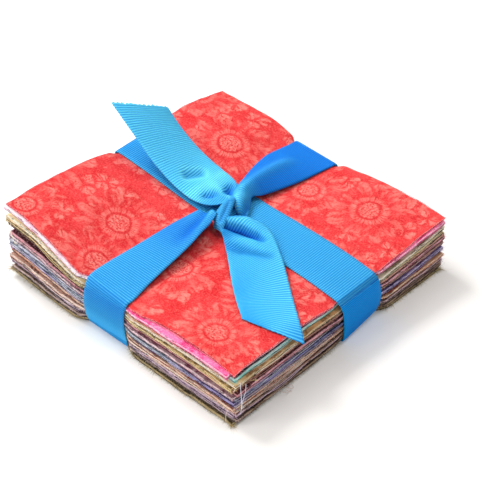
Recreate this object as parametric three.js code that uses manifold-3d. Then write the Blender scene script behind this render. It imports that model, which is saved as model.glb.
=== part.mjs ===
// Charm pack: a loose stack of five inch cotton squares, tied both ways with one grosgrain ribbon.
// Millimetres, +Z up. The stack's middle is over the origin and z = 0 is what it stands on.
// X runs along the front edge of the squares and Y along their right edge.
import * as THREE from 'three';
import { mergeVertices } from 'three/addons/utils/BufferGeometryUtils.js';
import Module from 'manifold-3d';

const wasm = await Module();
wasm.setup();

// Driving sizes.
const SIDE = 127; // a charm square is cut five inches each way
const HALF = SIDE / 2;
const CLOTH = 1.0; // one square, with the air that its creases hold
const APART = 0.3; // least gap between two squares, and round the ribbon
const RIBBON_LAY = 0.55; // gap between the top square and the ribbon that lies on it
const RIBBON_WIDTH = 23;
const RIBBON_THICK = 1.0;
const STRAND_ALONG_Y = -6; // x of the middle of the strand that crosses the pack front to back
const STRAND_ALONG_X = 8; // y of the middle of the strand that crosses it left to right
const SIDE_ROOM = 1.1; // from a square's true edge to the inside of the ribbon
const TURN_RADIUS = 2.2; // of the ribbon's middle where it turns over the pack's upper edge
const FOOT_RADIUS = 1.5; // of the ribbon's middle where it turns under the pack
const CORNER_LIFT = 3.0; // the front left corner of the lowest square stands off the table

// Height of the stack's upper face along its four edges and under the two strands.
// at is the place along the line, rise the height there.
const FRONT = [
  { at: -63.5, rise: 38.3 }, { at: -55, rise: 38.0 }, { at: -43, rise: 35.5 }, { at: -32, rise: 31.2 },
  { at: -24, rise: 28.6 }, { at: -17.5, rise: 25.8 }, { at: -6, rise: 25.0 }, { at: 5.5, rise: 24.7 },
  { at: 13, rise: 25.6 }, { at: 46, rise: 26.4 }, { at: 63.5, rise: 25.3 },
];
const BACK = [
  { at: -63.5, rise: 30.4 }, { at: -45, rise: 31.0 }, { at: -35, rise: 30.8 }, { at: -26, rise: 29.2 },
  { at: -17.5, rise: 26.0 }, { at: -6, rise: 25.4 }, { at: 5.5, rise: 25.3 }, { at: 20, rise: 27.8 },
  { at: 28, rise: 28.7 }, { at: 46, rise: 28.9 }, { at: 63.5, rise: 27.8 },
];
const LEFT = [
  { at: -63.5, rise: 38.3 }, { at: -56, rise: 39.4 }, { at: -34, rise: 37.7 }, { at: -20, rise: 36.6 },
  { at: -12, rise: 34.6 }, { at: -3.5, rise: 32.8 }, { at: 8, rise: 32.8 }, { at: 19.5, rise: 33.4 },
  { at: 36, rise: 35.2 }, { at: 46, rise: 34.0 }, { at: 63.5, rise: 30.4 },
];
const RIGHT = [
  { at: -63.5, rise: 25.3 }, { at: -22, rise: 25.3 }, { at: -13, rise: 24.3 }, { at: -3.5, rise: 23.2 },
  { at: 8, rise: 23.1 }, { at: 19.5, rise: 24.0 }, { at: 31, rise: 25.3 }, { at: 42, rise: 25.7 },
  { at: 63.5, rise: 27.8 },
];
const UNDER_Y_STRAND = [
  { at: -63.5, rise: 25.0 }, { at: -45, rise: 26.0 }, { at: -20, rise: 27.2 }, { at: 8, rise: 27.5 },
  { at: 40, rise: 27.2 }, { at: 55, rise: 26.4 }, { at: 63.5, rise: 25.4 },
];
const UNDER_X_STRAND = [
  { at: -63.5, rise: 32.8 }, { at: -40, rise: 30.6 }, { at: -17.5, rise: 28.2 }, { at: -6, rise: 27.5 },
  { at: 30, rise: 25.9 }, { at: 48, rise: 24.9 }, { at: 63.5, rise: 23.1 },
];

// The squares from the lowest up. dx and dy shift a square, turn is in degrees, and opened is the
// share of the stack's spare height at a raised corner that lies below this square.
const SQUARES = [
  { colour: 0x8c8457, dx: -0.2, dy: -0.3, turn: -0.4, opened: 0.0 },
  { colour: 0x6f6670, dx: 0.3, dy: 0.2, turn: 0.5, opened: 0.1 },
  { colour: 0x8d7c97, dx: -0.4, dy: 0.4, turn: -0.3, opened: 0.15 },
  { colour: 0x7a6158, dx: 0.5, dy: -0.2, turn: 0.3, opened: 0.2 },
  { colour: 0xe0c5b4, dx: -0.3, dy: -0.3, turn: 0.6, opened: 0.26 },
  { colour: 0xc98258, dx: 0.4, dy: 0.1, turn: -0.6, opened: 0.32 },
  { colour: 0xa79bc6, dx: -0.2, dy: 0.5, turn: 0.2, opened: 0.37 },
  { colour: 0x3f3a6e, dx: 0.3, dy: -0.2, turn: -0.2, opened: 0.42 },
  { colour: 0xc0bcd6, dx: -0.5, dy: 0.3, turn: 0.5, opened: 0.46 },
  { colour: 0xb8486c, dx: 0.2, dy: -0.4, turn: -0.5, opened: 0.5 },
  { colour: 0x9f8c86, dx: 0.4, dy: 0.4, turn: 0.3, opened: 0.54 },
  { colour: 0x5c5a34, dx: -0.3, dy: 0.6, turn: -0.3, opened: 0.64 },
  { colour: 0xd9c08a, dx: -0.4, dy: -0.6, turn: -0.4, opened: 0.76 },
  { colour: 0xe6d3ac, dx: 0.3, dy: -0.5, turn: 0.4, opened: 0.84 },
  { colour: 0x35b5a2, dx: 0, dy: 0, turn: 1.4, opened: 0.9 },
  { colour: 0xe8408f, dx: 0, dy: 0, turn: -2.2, opened: 0.95 },
  { colour: 0xf0424a, dx: 0, dy: 0, turn: 0, opened: 1.0 },
];

// Where the squares' faces bend: grid lines across them.
const COLUMNS = [-63.5, -54, -43, -32, -17.5, 5.5, 14, 30, 46, 63.5];
const ROWS = [-63.5, -46, -34, -20, -4, 20, 30, 40, 50, 63.5];

// The ribbon's free lengths and its gathers, as sections from edge a to edge b. bow raises the middle.
const TO_KNOT_FRONT = [
  { y: -60, left: -17.4, right: 5.4, raiseLeft: 0, raiseRight: 0, bow: 0 },
  { y: -46, left: -18.0, right: 3.9, raiseLeft: 0.2, raiseRight: 0.8, bow: 0.2 },
  { y: -34, left: -16.4, right: 3.0, raiseLeft: 0.3, raiseRight: 2.2, bow: 0.6 },
  { y: -20, left: -13.8, right: 2.2, raiseLeft: 0.6, raiseRight: 3.8, bow: 1.2 },
  { y: -11, left: -12.0, right: 0.6, raiseLeft: 1.4, raiseRight: 4.2, bow: 1.6 },
  { y: -3, left: -10.4, right: -1.6, raiseLeft: 2.6, raiseRight: 4.4, bow: 1.8 },
];
const TO_KNOT_BACK = [
  { y: 60, left: -17.4, right: 5.4, raiseLeft: 0, raiseRight: 0, bow: 0 },
  { y: 50, left: -16.4, right: 5.2, raiseLeft: 1.2, raiseRight: 0.3, bow: 1.0 },
  { y: 40, left: -15.0, right: 5.2, raiseLeft: 3.0, raiseRight: 0.6, bow: 2.0 },
  { y: 29, left: -12.6, right: 4.4, raiseLeft: 4.6, raiseRight: 1.2, bow: 2.6 },
  { y: 20, left: -10.2, right: 1.8, raiseLeft: 5.2, raiseRight: 2.4, bow: 2.6 },
  { y: 11, left: -7.0, right: 2.6, raiseLeft: 3.6, raiseRight: 1.8, bow: 2.4 },
];
const RAISED_TAIL = [
  { ax: -5, ay: 2, az: 32.6, bx: -7, by: 12, bz: 32.6, bow: 0.6 },
  { ax: -12, ay: -1.6, az: 32.0, bx: -13, by: 17, bz: 31.8, bow: 0.4 },
  { ax: -19, ay: -3.8, az: 32.2, bx: -19.4, by: 18.4, bz: 31.6, bow: 0.3 },
  { ax: -29, ay: -4.0, az: 34.6, bx: -27, by: 18.2, bz: 32.6, bow: 0.2 },
  { ax: -40.5, ay: -4.3, az: 40.0, bx: -35.8, by: 17.9, bz: 36.4, bow: 0.4 },
  { ax: -51.5, ay: -3.4, az: 46.6, bx: -44.6, by: 17.7, bz: 43.0, bow: 0.4 },
  { ax: -65, ay: -2.7, az: 56.0, bx: -51.6, by: 17.5, bz: 50.5, bow: 0.2 },
];
const LYING_TAIL = [
  { ax: -1, ay: -4.5, az: 31.6, bx: 1, by: 3, bz: 32.4, bow: 0.4 },
  { ax: 6, ay: -11.5, az: 31.4, bx: 10, by: 1.6, bz: 33.4, bow: -0.8 },
  { ax: 17, ay: -20, az: 30.4, bx: 22, by: -0.4, bz: 31.4, bow: -0.6 },
  { ax: 27, ay: -27, az: 29.4, bx: 34.4, by: -4.6, bz: 28.6, bow: 0.4 },
  { ax: 36, ay: -33.4, az: 28.2, bx: 49, by: -15.4, bz: 27.0, bow: 0.6 },
  { ax: 43.5, ay: -38.4, az: 27.7, bx: 64.5, by: -27.2, bz: 26.8, bow: 0.2 },
  { ax: 44.5, ay: -39.2, az: 27.7, bx: 70.0, by: -31.6, bz: 25.4, bow: 0 },
];
// The fold that is wrapped over the knot, from its front foot to its back one.
const WRAP = [
  { ax: 0, ay: -13, az: 29.6, bx: 6, by: -9.5, bz: 29.6, bow: 0.6 },
  { ax: -3.4, ay: -9, az: 33.4, bx: 4.4, by: -5, bz: 33.2, bow: 1.0 },
  { ax: -5.6, ay: -2, az: 35.0, bx: 2.6, by: 1.6, bz: 34.6, bow: 1.2 },
  { ax: -7.4, ay: 5, az: 34.8, bx: 2.8, by: 8, bz: 34.4, bow: 1.2 },
  { ax: -7.0, ay: 11, az: 33.0, bx: 4.6, by: 13, bz: 32.0, bow: 1.0 },
  { ax: -6.0, ay: 15, az: 30.0, bx: 4.0, by: 16.5, bz: 29.8, bow: 0.4 },
];
const KNOT_CORE = { x: -3.4, y: 3.0, z: 31.4, along: 8.5, across: 10, up: 3.2 };
const ACROSS = 4; // strips of faces across the ribbon
const TURN_STEPS = 4; // sections in a quarter turn of the ribbon

// Reads a profile at a place by straight interpolation.
function riseAt(profile, place) {
  const last = profile.length - 1;
  if (place <= profile[0].at) return profile[0].rise;
  if (place >= profile[last].at) return profile[last].rise;
  const i = profile.findIndex((row) => row.at > place);
  const [before, after] = [profile[i - 1], profile[i]];
  return THREE.MathUtils.mapLinear(place, before.at, after.at, before.rise, after.rise);
}

// Height of the stack's upper face: a Coons patch in each of the four fields round the strands.
function upperFace(px, py) {
  const x = THREE.MathUtils.clamp(px, -HALF, HALF);
  const y = THREE.MathUtils.clamp(py, -HALF, HALF);
  const inLeft = x < STRAND_ALONG_Y;
  const inFront = y < STRAND_ALONG_X;
  const [x0, x1] = inLeft ? [-HALF, STRAND_ALONG_Y] : [STRAND_ALONG_Y, HALF];
  const [y0, y1] = inFront ? [-HALF, STRAND_ALONG_X] : [STRAND_ALONG_X, HALF];
  const [low, high] = inFront ? [FRONT, UNDER_X_STRAND] : [UNDER_X_STRAND, BACK];
  const [west, east] = inLeft ? [LEFT, UNDER_Y_STRAND] : [UNDER_Y_STRAND, RIGHT];
  const s = (x - x0) / (x1 - x0);
  const t = (y - y0) / (y1 - y0);
  const lerp = THREE.MathUtils.lerp;
  const alongX = lerp(riseAt(low, x), riseAt(high, x), t);
  const alongY = lerp(riseAt(west, y), riseAt(east, y), s);
  const corners = lerp(
    lerp(riseAt(low, x0), riseAt(low, x1), s),
    lerp(riseAt(high, x0), riseAt(high, x1), s),
    t,
  );
  return alongX + alongY - corners;
}

// Height of the lowest square's underside: over the ribbon, near the table beside it, and lifted at one corner.
function lowerFace(x, y) {
  const BESIDE = 14; // from a strand's middle to where the cloth starts to drop beside it
  const DROP = 10; // and how far on it is down
  const off = Math.min(Math.abs(x - STRAND_ALONG_Y), Math.abs(y - STRAND_ALONG_X)) - BESIDE;
  const dropped = THREE.MathUtils.clamp(off / DROP, 0, 1);
  const overRibbon = RIBBON_THICK + APART;
  const lift = THREE.MathUtils.smoothstep(-x, 30, HALF) * THREE.MathUtils.smoothstep(-y, 30, HALF);
  return THREE.MathUtils.lerp(overRibbon, APART, dropped) + CORNER_LIFT * lift;
}

// Underside of a square: the closest packing, and its share of what the stack opens beyond that.
function underside(index, x, y) {
  const last = SQUARES.length - 1;
  const closest = (CLOTH + APART) * index;
  const spare = upperFace(x, y) - CLOTH - lowerFace(x, y) - (CLOTH + APART) * last;
  const even = index / last;
  const share = THREE.MathUtils.lerp(even, SQUARES[index].opened, THREE.MathUtils.clamp(spare / 8, 0, 1));
  return lowerFace(x, y) + closest + Math.max(spare, 0) * share;
}

// A box of unit cells whose corners are moved by place(i, j, side), with side 0 below and 1 above.
function bentBox(cellsAlong, cellsAcross, place) {
  const box = new THREE.BoxGeometry(cellsAlong, cellsAcross, 1, cellsAlong, cellsAcross, 1);
  box.deleteAttribute('normal');
  box.deleteAttribute('uv');
  const geometry = mergeVertices(box, 1e-4);
  // The under face comes last and has its cells cut along the other diagonal. Cutting them like the
  // upper ones keeps a twisted cell of one thickness, and neighbouring squares parallel.
  const { index } = geometry;
  const perCell = 6;
  for (let at = index.count - perCell * cellsAlong * cellsAcross; at < index.count; at += perCell) {
    const [a, b, d, , c] = Array.from({ length: perCell }, (_, k) => index.getX(at + k));
    [a, b, c, a, c, d].forEach((corner, k) => index.setX(at + k, corner));
  }
  const position = geometry.attributes.position;
  for (let v = 0; v < position.count; v += 1) {
    const i = Math.round(position.getX(v) + cellsAlong / 2);
    const j = Math.round(position.getY(v) + cellsAcross / 2);
    const moved = place(i, j, position.getZ(v) > 0 ? 1 : 0);
    position.setXYZ(v, moved.x, moved.y, moved.z);
  }
  return geometry;
}

// A square's inner bends lie on the shared grid lines, so that neighbours stay parallel, and its rim
// lies where its shift and turn put it.
function squareGeometry(index) {
  const { dx, dy, turn } = SQUARES[index];
  const [cos, sin] = [Math.cos, Math.sin].map((f) => f(THREE.MathUtils.degToRad(turn)));
  const turned = (x, y) => ({ x: x * cos - y * sin + dx, y: x * sin + y * cos + dy });
  const sideX = (end, y) => turned(end, (y - dy - end * sin) / cos).x;
  const sideY = (end, x) => turned((x - dx + end * sin) / cos, end).y;
  return bentBox(COLUMNS.length - 1, ROWS.length - 1, (i, j, side) => {
    const endX = i === 0 ? -HALF : i === COLUMNS.length - 1 && HALF;
    const endY = j === 0 ? -HALF : j === ROWS.length - 1 && HALF;
    let [x, y] = [COLUMNS[i], ROWS[j]];
    if (endX && endY) ({ x, y } = turned(endX, endY));
    else if (endX) x = sideX(endX, y);
    else if (endY) y = sideY(endY, x);
    return new THREE.Vector3(x, y, underside(index, x, y) + side * CLOTH);
  });
}

// A ribbon through sections, each with its two edges and the height of its bow.
function strip(sections) {
  const middles = sections.map(({ a, b }) => a.clone().lerp(b, 0.5));
  return bentBox(sections.length - 1, ACROSS, (i, j, side) => {
    const { a, b, bow } = sections[i];
    const q = j / ACROSS;
    const along = middles[Math.min(i + 1, middles.length - 1)].clone().sub(middles[Math.max(i - 1, 0)]);
    const normal = along.cross(b.clone().sub(a)).normalize();
    const point = a.clone().lerp(b, q);
    point.z += bow * 4 * q * (1 - q);
    return point.addScaledVector(normal, (side - 0.5) * RIBBON_THICK);
  });
}

// Sections of a strand on the stack: edges raised above the cloth by the row's amounts.
function onCloth(x, y, raise) {
  const z = upperFace(x, y) + RIBBON_LAY + RIBBON_THICK / 2 + raise;
  return new THREE.Vector3(x, y, z);
}

function frontToBackSection({ y, left, right, raiseLeft, raiseRight, bow }) {
  return { a: onCloth(left, y, raiseLeft), b: onCloth(right, y, raiseRight), bow };
}

// The turn over an upper edge of the pack, down its side and under it. The strand leaves the pack's
// top where outward is the direction of the side, and edges are the places of its two edges.
function wrapSections(outward, across, edges) {
  const sections = [];
  const reach = HALF + SIDE_ROOM + RIBBON_THICK / 2;
  const at = (out, sideways, z) => {
    const point = outward.clone().multiplyScalar(out).addScaledVector(across, sideways);
    return point.setZ(z);
  };
  const top = (sideways) => {
    const on = at(HALF, sideways, 0);
    return upperFace(on.x, on.y) + RIBBON_LAY + RIBBON_THICK / 2;
  };
  for (let step = 0; step <= TURN_STEPS; step += 1) {
    const angle = (step / TURN_STEPS) * (Math.PI / 2);
    const out = reach - TURN_RADIUS * (1 - Math.sin(angle));
    const drop = TURN_RADIUS * (1 - Math.cos(angle));
    const [a, b] = edges.map((edge) => at(out, edge, top(edge) - drop));
    sections.push({ a, b, bow: 0 });
  }
  const middle = RIBBON_THICK / 2;
  for (let step = 0; step <= TURN_STEPS; step += 1) {
    const angle = (step / TURN_STEPS) * (Math.PI / 2);
    const out = reach - FOOT_RADIUS * (1 - Math.cos(angle));
    const [a, b] = edges.map((edge) => at(out, edge, middle + FOOT_RADIUS * (1 - Math.sin(angle))));
    sections.push({ a, b, bow: 0 });
  }
  return sections;
}

const widthAround = (middle) => [middle - RIBBON_WIDTH / 2, middle + RIBBON_WIDTH / 2];

// Front to back: from the knot, over the front edge, under the pack, and up the back to the knot.
function frontToBackStrand() {
  const edges = widthAround(STRAND_ALONG_Y);
  const right = new THREE.Vector3(1, 0, 0);
  const front = wrapSections(new THREE.Vector3(0, -1, 0), right, edges);
  const back = wrapSections(new THREE.Vector3(0, 1, 0), right, edges).reverse();
  return strip([
    ...TO_KNOT_FRONT.map(frontToBackSection).reverse(),
    ...front,
    ...back,
    ...TO_KNOT_BACK.map(frontToBackSection),
  ]);
}

// Left to right: one flat strand that passes under the knot. It is two strips that meet in the middle.
function leftToRightStrands() {
  const edges = widthAround(STRAND_ALONG_X);
  const along = new THREE.Vector3(0, 1, 0);
  const bends = COLUMNS.slice(1, -1); // the strand bends where the cloth below it does
  return [1, -1].map((way) => {
    const outward = bends.filter((x) => way * x > 0).sort((x, other) => way * (x - other));
    const run = [STRAND_ALONG_Y, ...outward].map((x) => {
      const [a, b] = edges.map((edge) => onCloth(x, edge, 0));
      return { a, b, bow: 0 };
    });
    const side = wrapSections(new THREE.Vector3(way, 0, 0), along, edges);
    const under = edges.map((edge) => new THREE.Vector3(STRAND_ALONG_Y - way, edge, RIBBON_THICK / 2));
    return strip([...run, ...side, { a: under[0], b: under[1], bow: 0 }]);
  });
}

function looseStrip(rows) {
  return strip(rows.map(({ ax, ay, az, bx, by, bz, bow }) => ({
    a: new THREE.Vector3(ax, ay, az),
    b: new THREE.Vector3(bx, by, bz),
    bow,
  })));
}

function knotCore() {
  const { x, y, z, along, across, up } = KNOT_CORE;
  const ball = new THREE.SphereGeometry(1, 12, 8);
  ball.scale(along, across, up);
  ball.translate(x, y, z);
  ball.deleteAttribute('normal');
  ball.deleteAttribute('uv');
  return mergeVertices(ball, 1e-4);
}

// Turns a closed geometry into a solid, with its faces pointing out.
function solid(geometry) {
  const position = geometry.attributes.position;
  const corners = [...geometry.index.array];
  const [a, b, c] = [new THREE.Vector3(), new THREE.Vector3(), new THREE.Vector3()];
  let volume = 0;
  for (let i = 0; i < corners.length; i += 3) {
    a.fromBufferAttribute(position, corners[i]);
    b.fromBufferAttribute(position, corners[i + 1]);
    c.fromBufferAttribute(position, corners[i + 2]);
    volume += a.dot(b.cross(c)) / 6;
  }
  const faces = volume > 0 ? corners : corners.reverse();
  return new wasm.Manifold(new wasm.Mesh({
    numProp: 3,
    vertProperties: new Float32Array(position.array),
    triVerts: new Uint32Array(faces),
  }));
}

// Joins pieces that run into each other, and fills the pockets that the knot's folds close in.
function fused(geometries) {
  const joined = geometries.map(solid).reduce((whole, piece) => whole.add(piece));
  const [outside] = joined.decompose().sort((one, other) => other.volume() - one.volume());
  const mesh = outside.getMesh();
  const geometry = new THREE.BufferGeometry();
  geometry.setAttribute('position', new THREE.BufferAttribute(new Float32Array(mesh.vertProperties), 3));
  geometry.setIndex(new THREE.BufferAttribute(new Uint32Array(mesh.triVerts), 1));
  return geometry;
}

const group = new THREE.Group();
SQUARES.forEach(({ colour }, index) => {
  const cotton = new THREE.MeshStandardMaterial({ color: colour, roughness: 0.9, metalness: 0 });
  const square = new THREE.Mesh(squareGeometry(index), cotton);
  square.name = `square_${String(index + 1).padStart(2, '0')}`;
  group.add(square);
});

const grosgrain = new THREE.MeshStandardMaterial({ color: 0x1e88e0, roughness: 0.55, metalness: 0 });
const ribbon = new THREE.Mesh(fused([
  frontToBackStrand(),
  ...leftToRightStrands(),
  knotCore(),
  looseStrip(WRAP),
  looseStrip(RAISED_TAIL),
  looseStrip(LYING_TAIL),
]), grosgrain);
ribbon.name = 'ribbon';
group.add(ribbon);

export default group;
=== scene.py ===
# %% [markdown]
# # A charm pack tied with grosgrain ribbon
# A charm pack is a stack of cotton squares, each cut five inches each way, sold as one sample of
# every print in a fabric range. This one is tied both ways with one blue grosgrain ribbon, whose
# free ends stand and lie on the top square. The measured solids come in as a fixed frame, and
# every cloth is then made again as thin, soft, finished cloth in the place of its solid.

# %% Tools and the frame
import math
import random

import bmesh
import bpy
from mathutils import Matrix, Vector, noise
from mathutils.bvhtree import BVHTree


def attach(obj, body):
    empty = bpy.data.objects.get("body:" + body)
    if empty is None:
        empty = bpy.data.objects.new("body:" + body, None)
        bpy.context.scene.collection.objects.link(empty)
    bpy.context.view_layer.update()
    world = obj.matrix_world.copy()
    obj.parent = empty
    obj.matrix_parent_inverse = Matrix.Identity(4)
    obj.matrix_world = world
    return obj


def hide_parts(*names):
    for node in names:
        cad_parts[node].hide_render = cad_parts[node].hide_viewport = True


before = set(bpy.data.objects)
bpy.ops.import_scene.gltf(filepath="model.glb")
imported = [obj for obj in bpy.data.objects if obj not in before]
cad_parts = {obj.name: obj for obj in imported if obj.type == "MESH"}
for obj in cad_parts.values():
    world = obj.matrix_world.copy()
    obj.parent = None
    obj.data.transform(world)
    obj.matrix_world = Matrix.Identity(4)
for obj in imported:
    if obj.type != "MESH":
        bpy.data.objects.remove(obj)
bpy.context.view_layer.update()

# %% Sizes and objects
MM = 0.001
SIDE_MM = 127  # a charm square is cut five inches each way
SIDE = SIDE_MM * MM
HALF = SIDE / 2
SQUARES = 17  # numbered from the lowest up, so this is the top one's number too


def point(x, y, z):
    """A place given in millimetres, as Blender's metres."""
    return Vector((x, y, z)) * MM


def link(obj):
    """Puts an object into the scene."""
    bpy.context.scene.collection.objects.link(obj)
    return obj


def built(mesh, name, smooth=False):
    """A finished bmesh as an object of the scene."""
    obj = link(bpy.data.objects.new(name, bpy.data.meshes.new(name)))
    mesh.to_mesh(obj.data)
    mesh.free()
    if smooth:
        obj.data.polygons.foreach_set("use_smooth", [True] * len(obj.data.polygons))
    return obj


print(SQUARES, "squares of", SIDE_MM, "mm each way")

# %% [markdown]
# ## Camera
# Through a long lens the squares' parallel sides hardly converge, so the pack still looks square
# from above one corner. The camera is placed by two angles and a distance from a point near the
# middle of the stack, as one walks round a table, and a small roll is turned in last.

# %% Camera
CAMERA_TURN = math.radians(42.54)  # round from the front edge
CAMERA_RISE = math.radians(39.9)
CAMERA_ROLL = math.radians(0.72)
CAMERA_AWAY = 0.6958
LOOKED_AT = point(3.24, 6.54, 10)
LENS_LENGTH, SENSOR_WIDTH = 119.7, 36  # mm
NEAREST_SEEN = 50 * MM
back = Vector((
    math.sin(CAMERA_TURN) * math.cos(CAMERA_RISE),
    -math.cos(CAMERA_TURN) * math.cos(CAMERA_RISE),
    math.sin(CAMERA_RISE),
))
camera = link(bpy.data.objects.new("camera", bpy.data.cameras.new("camera")))
camera.data.lens = LENS_LENGTH
camera.data.sensor_width = SENSOR_WIDTH
camera.data.clip_start = NEAREST_SEEN
turned = (-back).to_track_quat("-Z", "Y").to_matrix() @ Matrix.Rotation(CAMERA_ROLL, 3, "Z")
camera.matrix_world = Matrix.Translation(LOOKED_AT + back * CAMERA_AWAY) @ turned.to_4x4()
bpy.context.scene.camera = camera
bpy.context.scene.view_settings.view_transform = "Standard"
print("camera at", [round(v, 3) for v in camera.matrix_world.translation])

# %% [markdown]
# ## Node helpers
# Every finish below is a small web of shader nodes. One helper adds a node and fills its sockets,
# and each of the others stands for one kind of node that is used often. What comes out of a node
# can be added and multiplied, which adds Math nodes. A value is wired where it varies over the
# cloth, and it is typed into the shader's own socket where it doesn't.

# %% Helpers for nodes


class Value:
    """What comes out of a node. Arithmetic with it adds more nodes."""

    def __init__(self, nodes, socket):
        self.nodes, self.socket = nodes, socket

    def __add__(self, other):
        return self.nodes.math("ADD", self, other)

    def __sub__(self, other):
        return self.nodes.math("SUBTRACT", self, other)

    def __rsub__(self, other):
        return self.nodes.math("SUBTRACT", other, self)

    def __mul__(self, other):
        return self.nodes.math("MULTIPLY", self, other)

    def __truediv__(self, other):
        return self.nodes.math("DIVIDE", self, other)


class Nodes:
    """The nodes of one material, or of the world."""

    def __init__(self, owner):
        owner.use_nodes = True
        self.owner, self.tree = owner, owner.node_tree
        self.tree.nodes.clear()

    def feed(self, socket, value):
        """Wires a value that varies to a socket, or types one that doesn't into it."""
        if isinstance(value, Value):
            self.tree.links.new(value.socket, socket)
        else:
            socket.default_value = value

    def node(self, kind, settings=None, **sockets):
        """A new node with its settings, and its sockets filled by name."""
        made = self.tree.nodes.new("ShaderNode" + kind)
        for key, value in (settings or {}).items():
            setattr(made, key, value)
        for key, value in sockets.items():
            self.feed(made.inputs[key.replace("_", " ")], value)
        return made

    def value(self, kind, output=0, settings=None, **sockets):
        """What comes out of a new node."""
        return Value(self, self.node(kind, settings, **sockets).outputs[output])

    def filled(self, kind, settings, *values, output=0):
        """What comes out of a new node whose sockets are filled in their order."""
        made = self.node(kind, settings)
        for socket, value in zip(made.inputs, values):
            self.feed(socket, value)
        return Value(self, made.outputs[output])

    def math(self, operation, *values):
        """One sum, product or the like."""
        return self.filled("Math", {"operation": operation}, *values)

    def vector(self, operation, *values):
        """The same with whole vectors."""
        return self.filled("VectorMath", {"operation": operation}, *values)

    def ramp(self, value, low, high, start=0.0, end=1.0):
        """Eases from start, where the value is low, to end, where it is high."""
        return self.filled("MapRange", {"interpolation_type": "SMOOTHSTEP"}, value, low, high, start, end)

    def noise(self, place, scale=1.0, detail=2.0, roughness=0.6):
        """Cloudy noise from 0 to 1 at a place."""
        return self.value("TexNoise", Vector=place, Scale=scale, Detail=detail, Roughness=roughness)

    def split(self, vector):
        """The x, y and z of a vector."""
        return [Value(self, part) for part in self.node("SeparateXYZ", Vector=vector).outputs]

    def mix(self, share, a, b):
        """From colour a to colour b."""
        return self.value("Mix", "Result", {"data_type": "RGBA"}, Factor=share, A=a, B=b)

    def end(self, shader, kind="OutputMaterial"):
        """Joins the shader to the output, and hands back whose nodes these are."""
        self.node(kind, Surface=shader)
        return self.owner


def colour(code):
    """A colour written as red, green and blue from 0 to 255, as the linear light a shader wants."""
    return (*(((c / 255 + 0.055) / 1.055) ** 2.4 if c > 10 else c / 255 / 12.92 for c in code), 1.0)


print("a middle grey in linear light:", round(colour((128, 128, 128))[0], 3))

# %% [markdown]
# ## Table, backdrop and light
# The pack stands on a white sweep. A studio gets that white by lighting the table more than the
# goods, but then the goods clip as well, so here the table's own colour is lifted towards white
# for the camera alone, and it still keeps the shadow. A window lamp stands to the left, a broad
# lamp before the table fills its front, a weak one hangs over it, and a pale sky does the rest.

# %% Table
FLOOR_HALF = 3.0
FLOOR_WHITE = (0.95, 0.925, 0.9, 1)
FLOOR_LIFT = 0.11  # share of plain white that the camera sees in the table
sweep = bmesh.new()
bmesh.ops.create_grid(sweep, x_segments=8, y_segments=8, size=FLOOR_HALF)
floor = built(sweep, "table")

table = Nodes(bpy.data.materials.new("white_table"))
rays = [table.value("LightPath", f"Is {kind} Ray") for kind in ("Camera", "Glossy")]
lift = table.math("MAXIMUM", *rays) * FLOOR_LIFT
paper = table.value("BsdfDiffuse", Color=FLOOR_WHITE)
white = table.value("Emission", Color=(1, 1, 1, 1), Strength=1.0)
floor.data.materials.append(table.end(table.filled("MixShader", {}, lift, paper, white)))
print("table", 2 * FLOOR_HALF, "m wide, lifted by", FLOOR_LIFT)

# %% Sky
SKY = (0.27, 0.67)  # strength on the side away from the window, and towards it
SKY_SIDE = (-0.38, -0.58, 0.72)  # the way to the brightest part of the sky
SKY_TURNS = (-0.3, 1.0)  # cosines of the angles from there at which those strengths are reached
SKY_TINT = (1.0, 0.985, 0.96, 1)
sky = Nodes(bpy.data.worlds.new("studio"))
bpy.context.scene.world = sky.owner
way = sky.value("TexCoord", "Generated")
turn = sky.filled("VectorMath", {"operation": "DOT_PRODUCT"}, way, SKY_SIDE, output="Value")
strength = sky.filled("MapRange", {}, turn, *SKY_TURNS, *SKY)
lit = sky.value("Background", Color=SKY_TINT, Strength=strength)
backdrop = sky.value("Background", Color=(1, 1, 1, 1), Strength=1.0)
shown = sky.filled("MixShader", {}, sky.value("LightPath", "Is Camera Ray"), lit, backdrop)
sky.end(shown, "OutputWorld")
print("sky strength from", *SKY)

# %% Lamps
# Name to its place and width in metres, and its watts.
LAMPS = {
    "window": ((-0.84, -0.05, 1.1), 0.5, 14.2),
    "front_fill": ((-0.42, -0.92, 0.92), 0.6, 5.6),
    "overhead": ((0.25, 0.45, 1.3), 0.4, 4.0),
}
STACK_MIDDLE = point(0, 0, 20)
for name, (place, width, watts) in LAMPS.items():
    lamp = link(bpy.data.objects.new(name, bpy.data.lights.new(name, "AREA")))
    lamp.data.shape = "SQUARE"
    lamp.data.size = width
    lamp.data.energy = watts
    aim = (STACK_MIDDLE - Vector(place)).to_track_quat("-Z", "Y")
    lamp.matrix_world = Matrix.Translation(place) @ aim.to_matrix().to_4x4()
    print(name, watts, "W")

# %% [markdown]
# ## Cutting the squares
# Each square is a flat piece of quilting cotton. It starts as a grid of faces, and every corner
# of the grid is laid on its own solid in the frame by dropping a line on it from above, so the
# cloths keep the sag under the ribbon and the lifted corners of the real stack. The solids are
# faceted, so the grid is smoothed after that. A cloth simulation could drop the squares on each
# other as well, but they would come to rest in their own way, and not in the measured one.

# %% Laying a grid on a solid


def grid(mesh, across, along):
    """A grid of faces, with its corners by column and row."""
    made = bmesh.ops.create_grid(mesh, x_segments=across, y_segments=along, size=1)
    return {
        (round((v.co.x + 1) / 2 * across), round((v.co.y + 1) / 2 * along)): v for v in made["verts"]
    }


def surface(obj):
    """Something to drop lines on."""
    shape = obj.data
    return BVHTree.FromPolygons([v.co for v in shape.vertices], [p.vertices for p in shape.polygons])


INWARDS = (1.0, 0.995, 0.985, 0.97, 0.94)  # shares of the way out, tried in turn at a rim
ABOVE = 200 * MM  # lines are dropped from here


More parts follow.
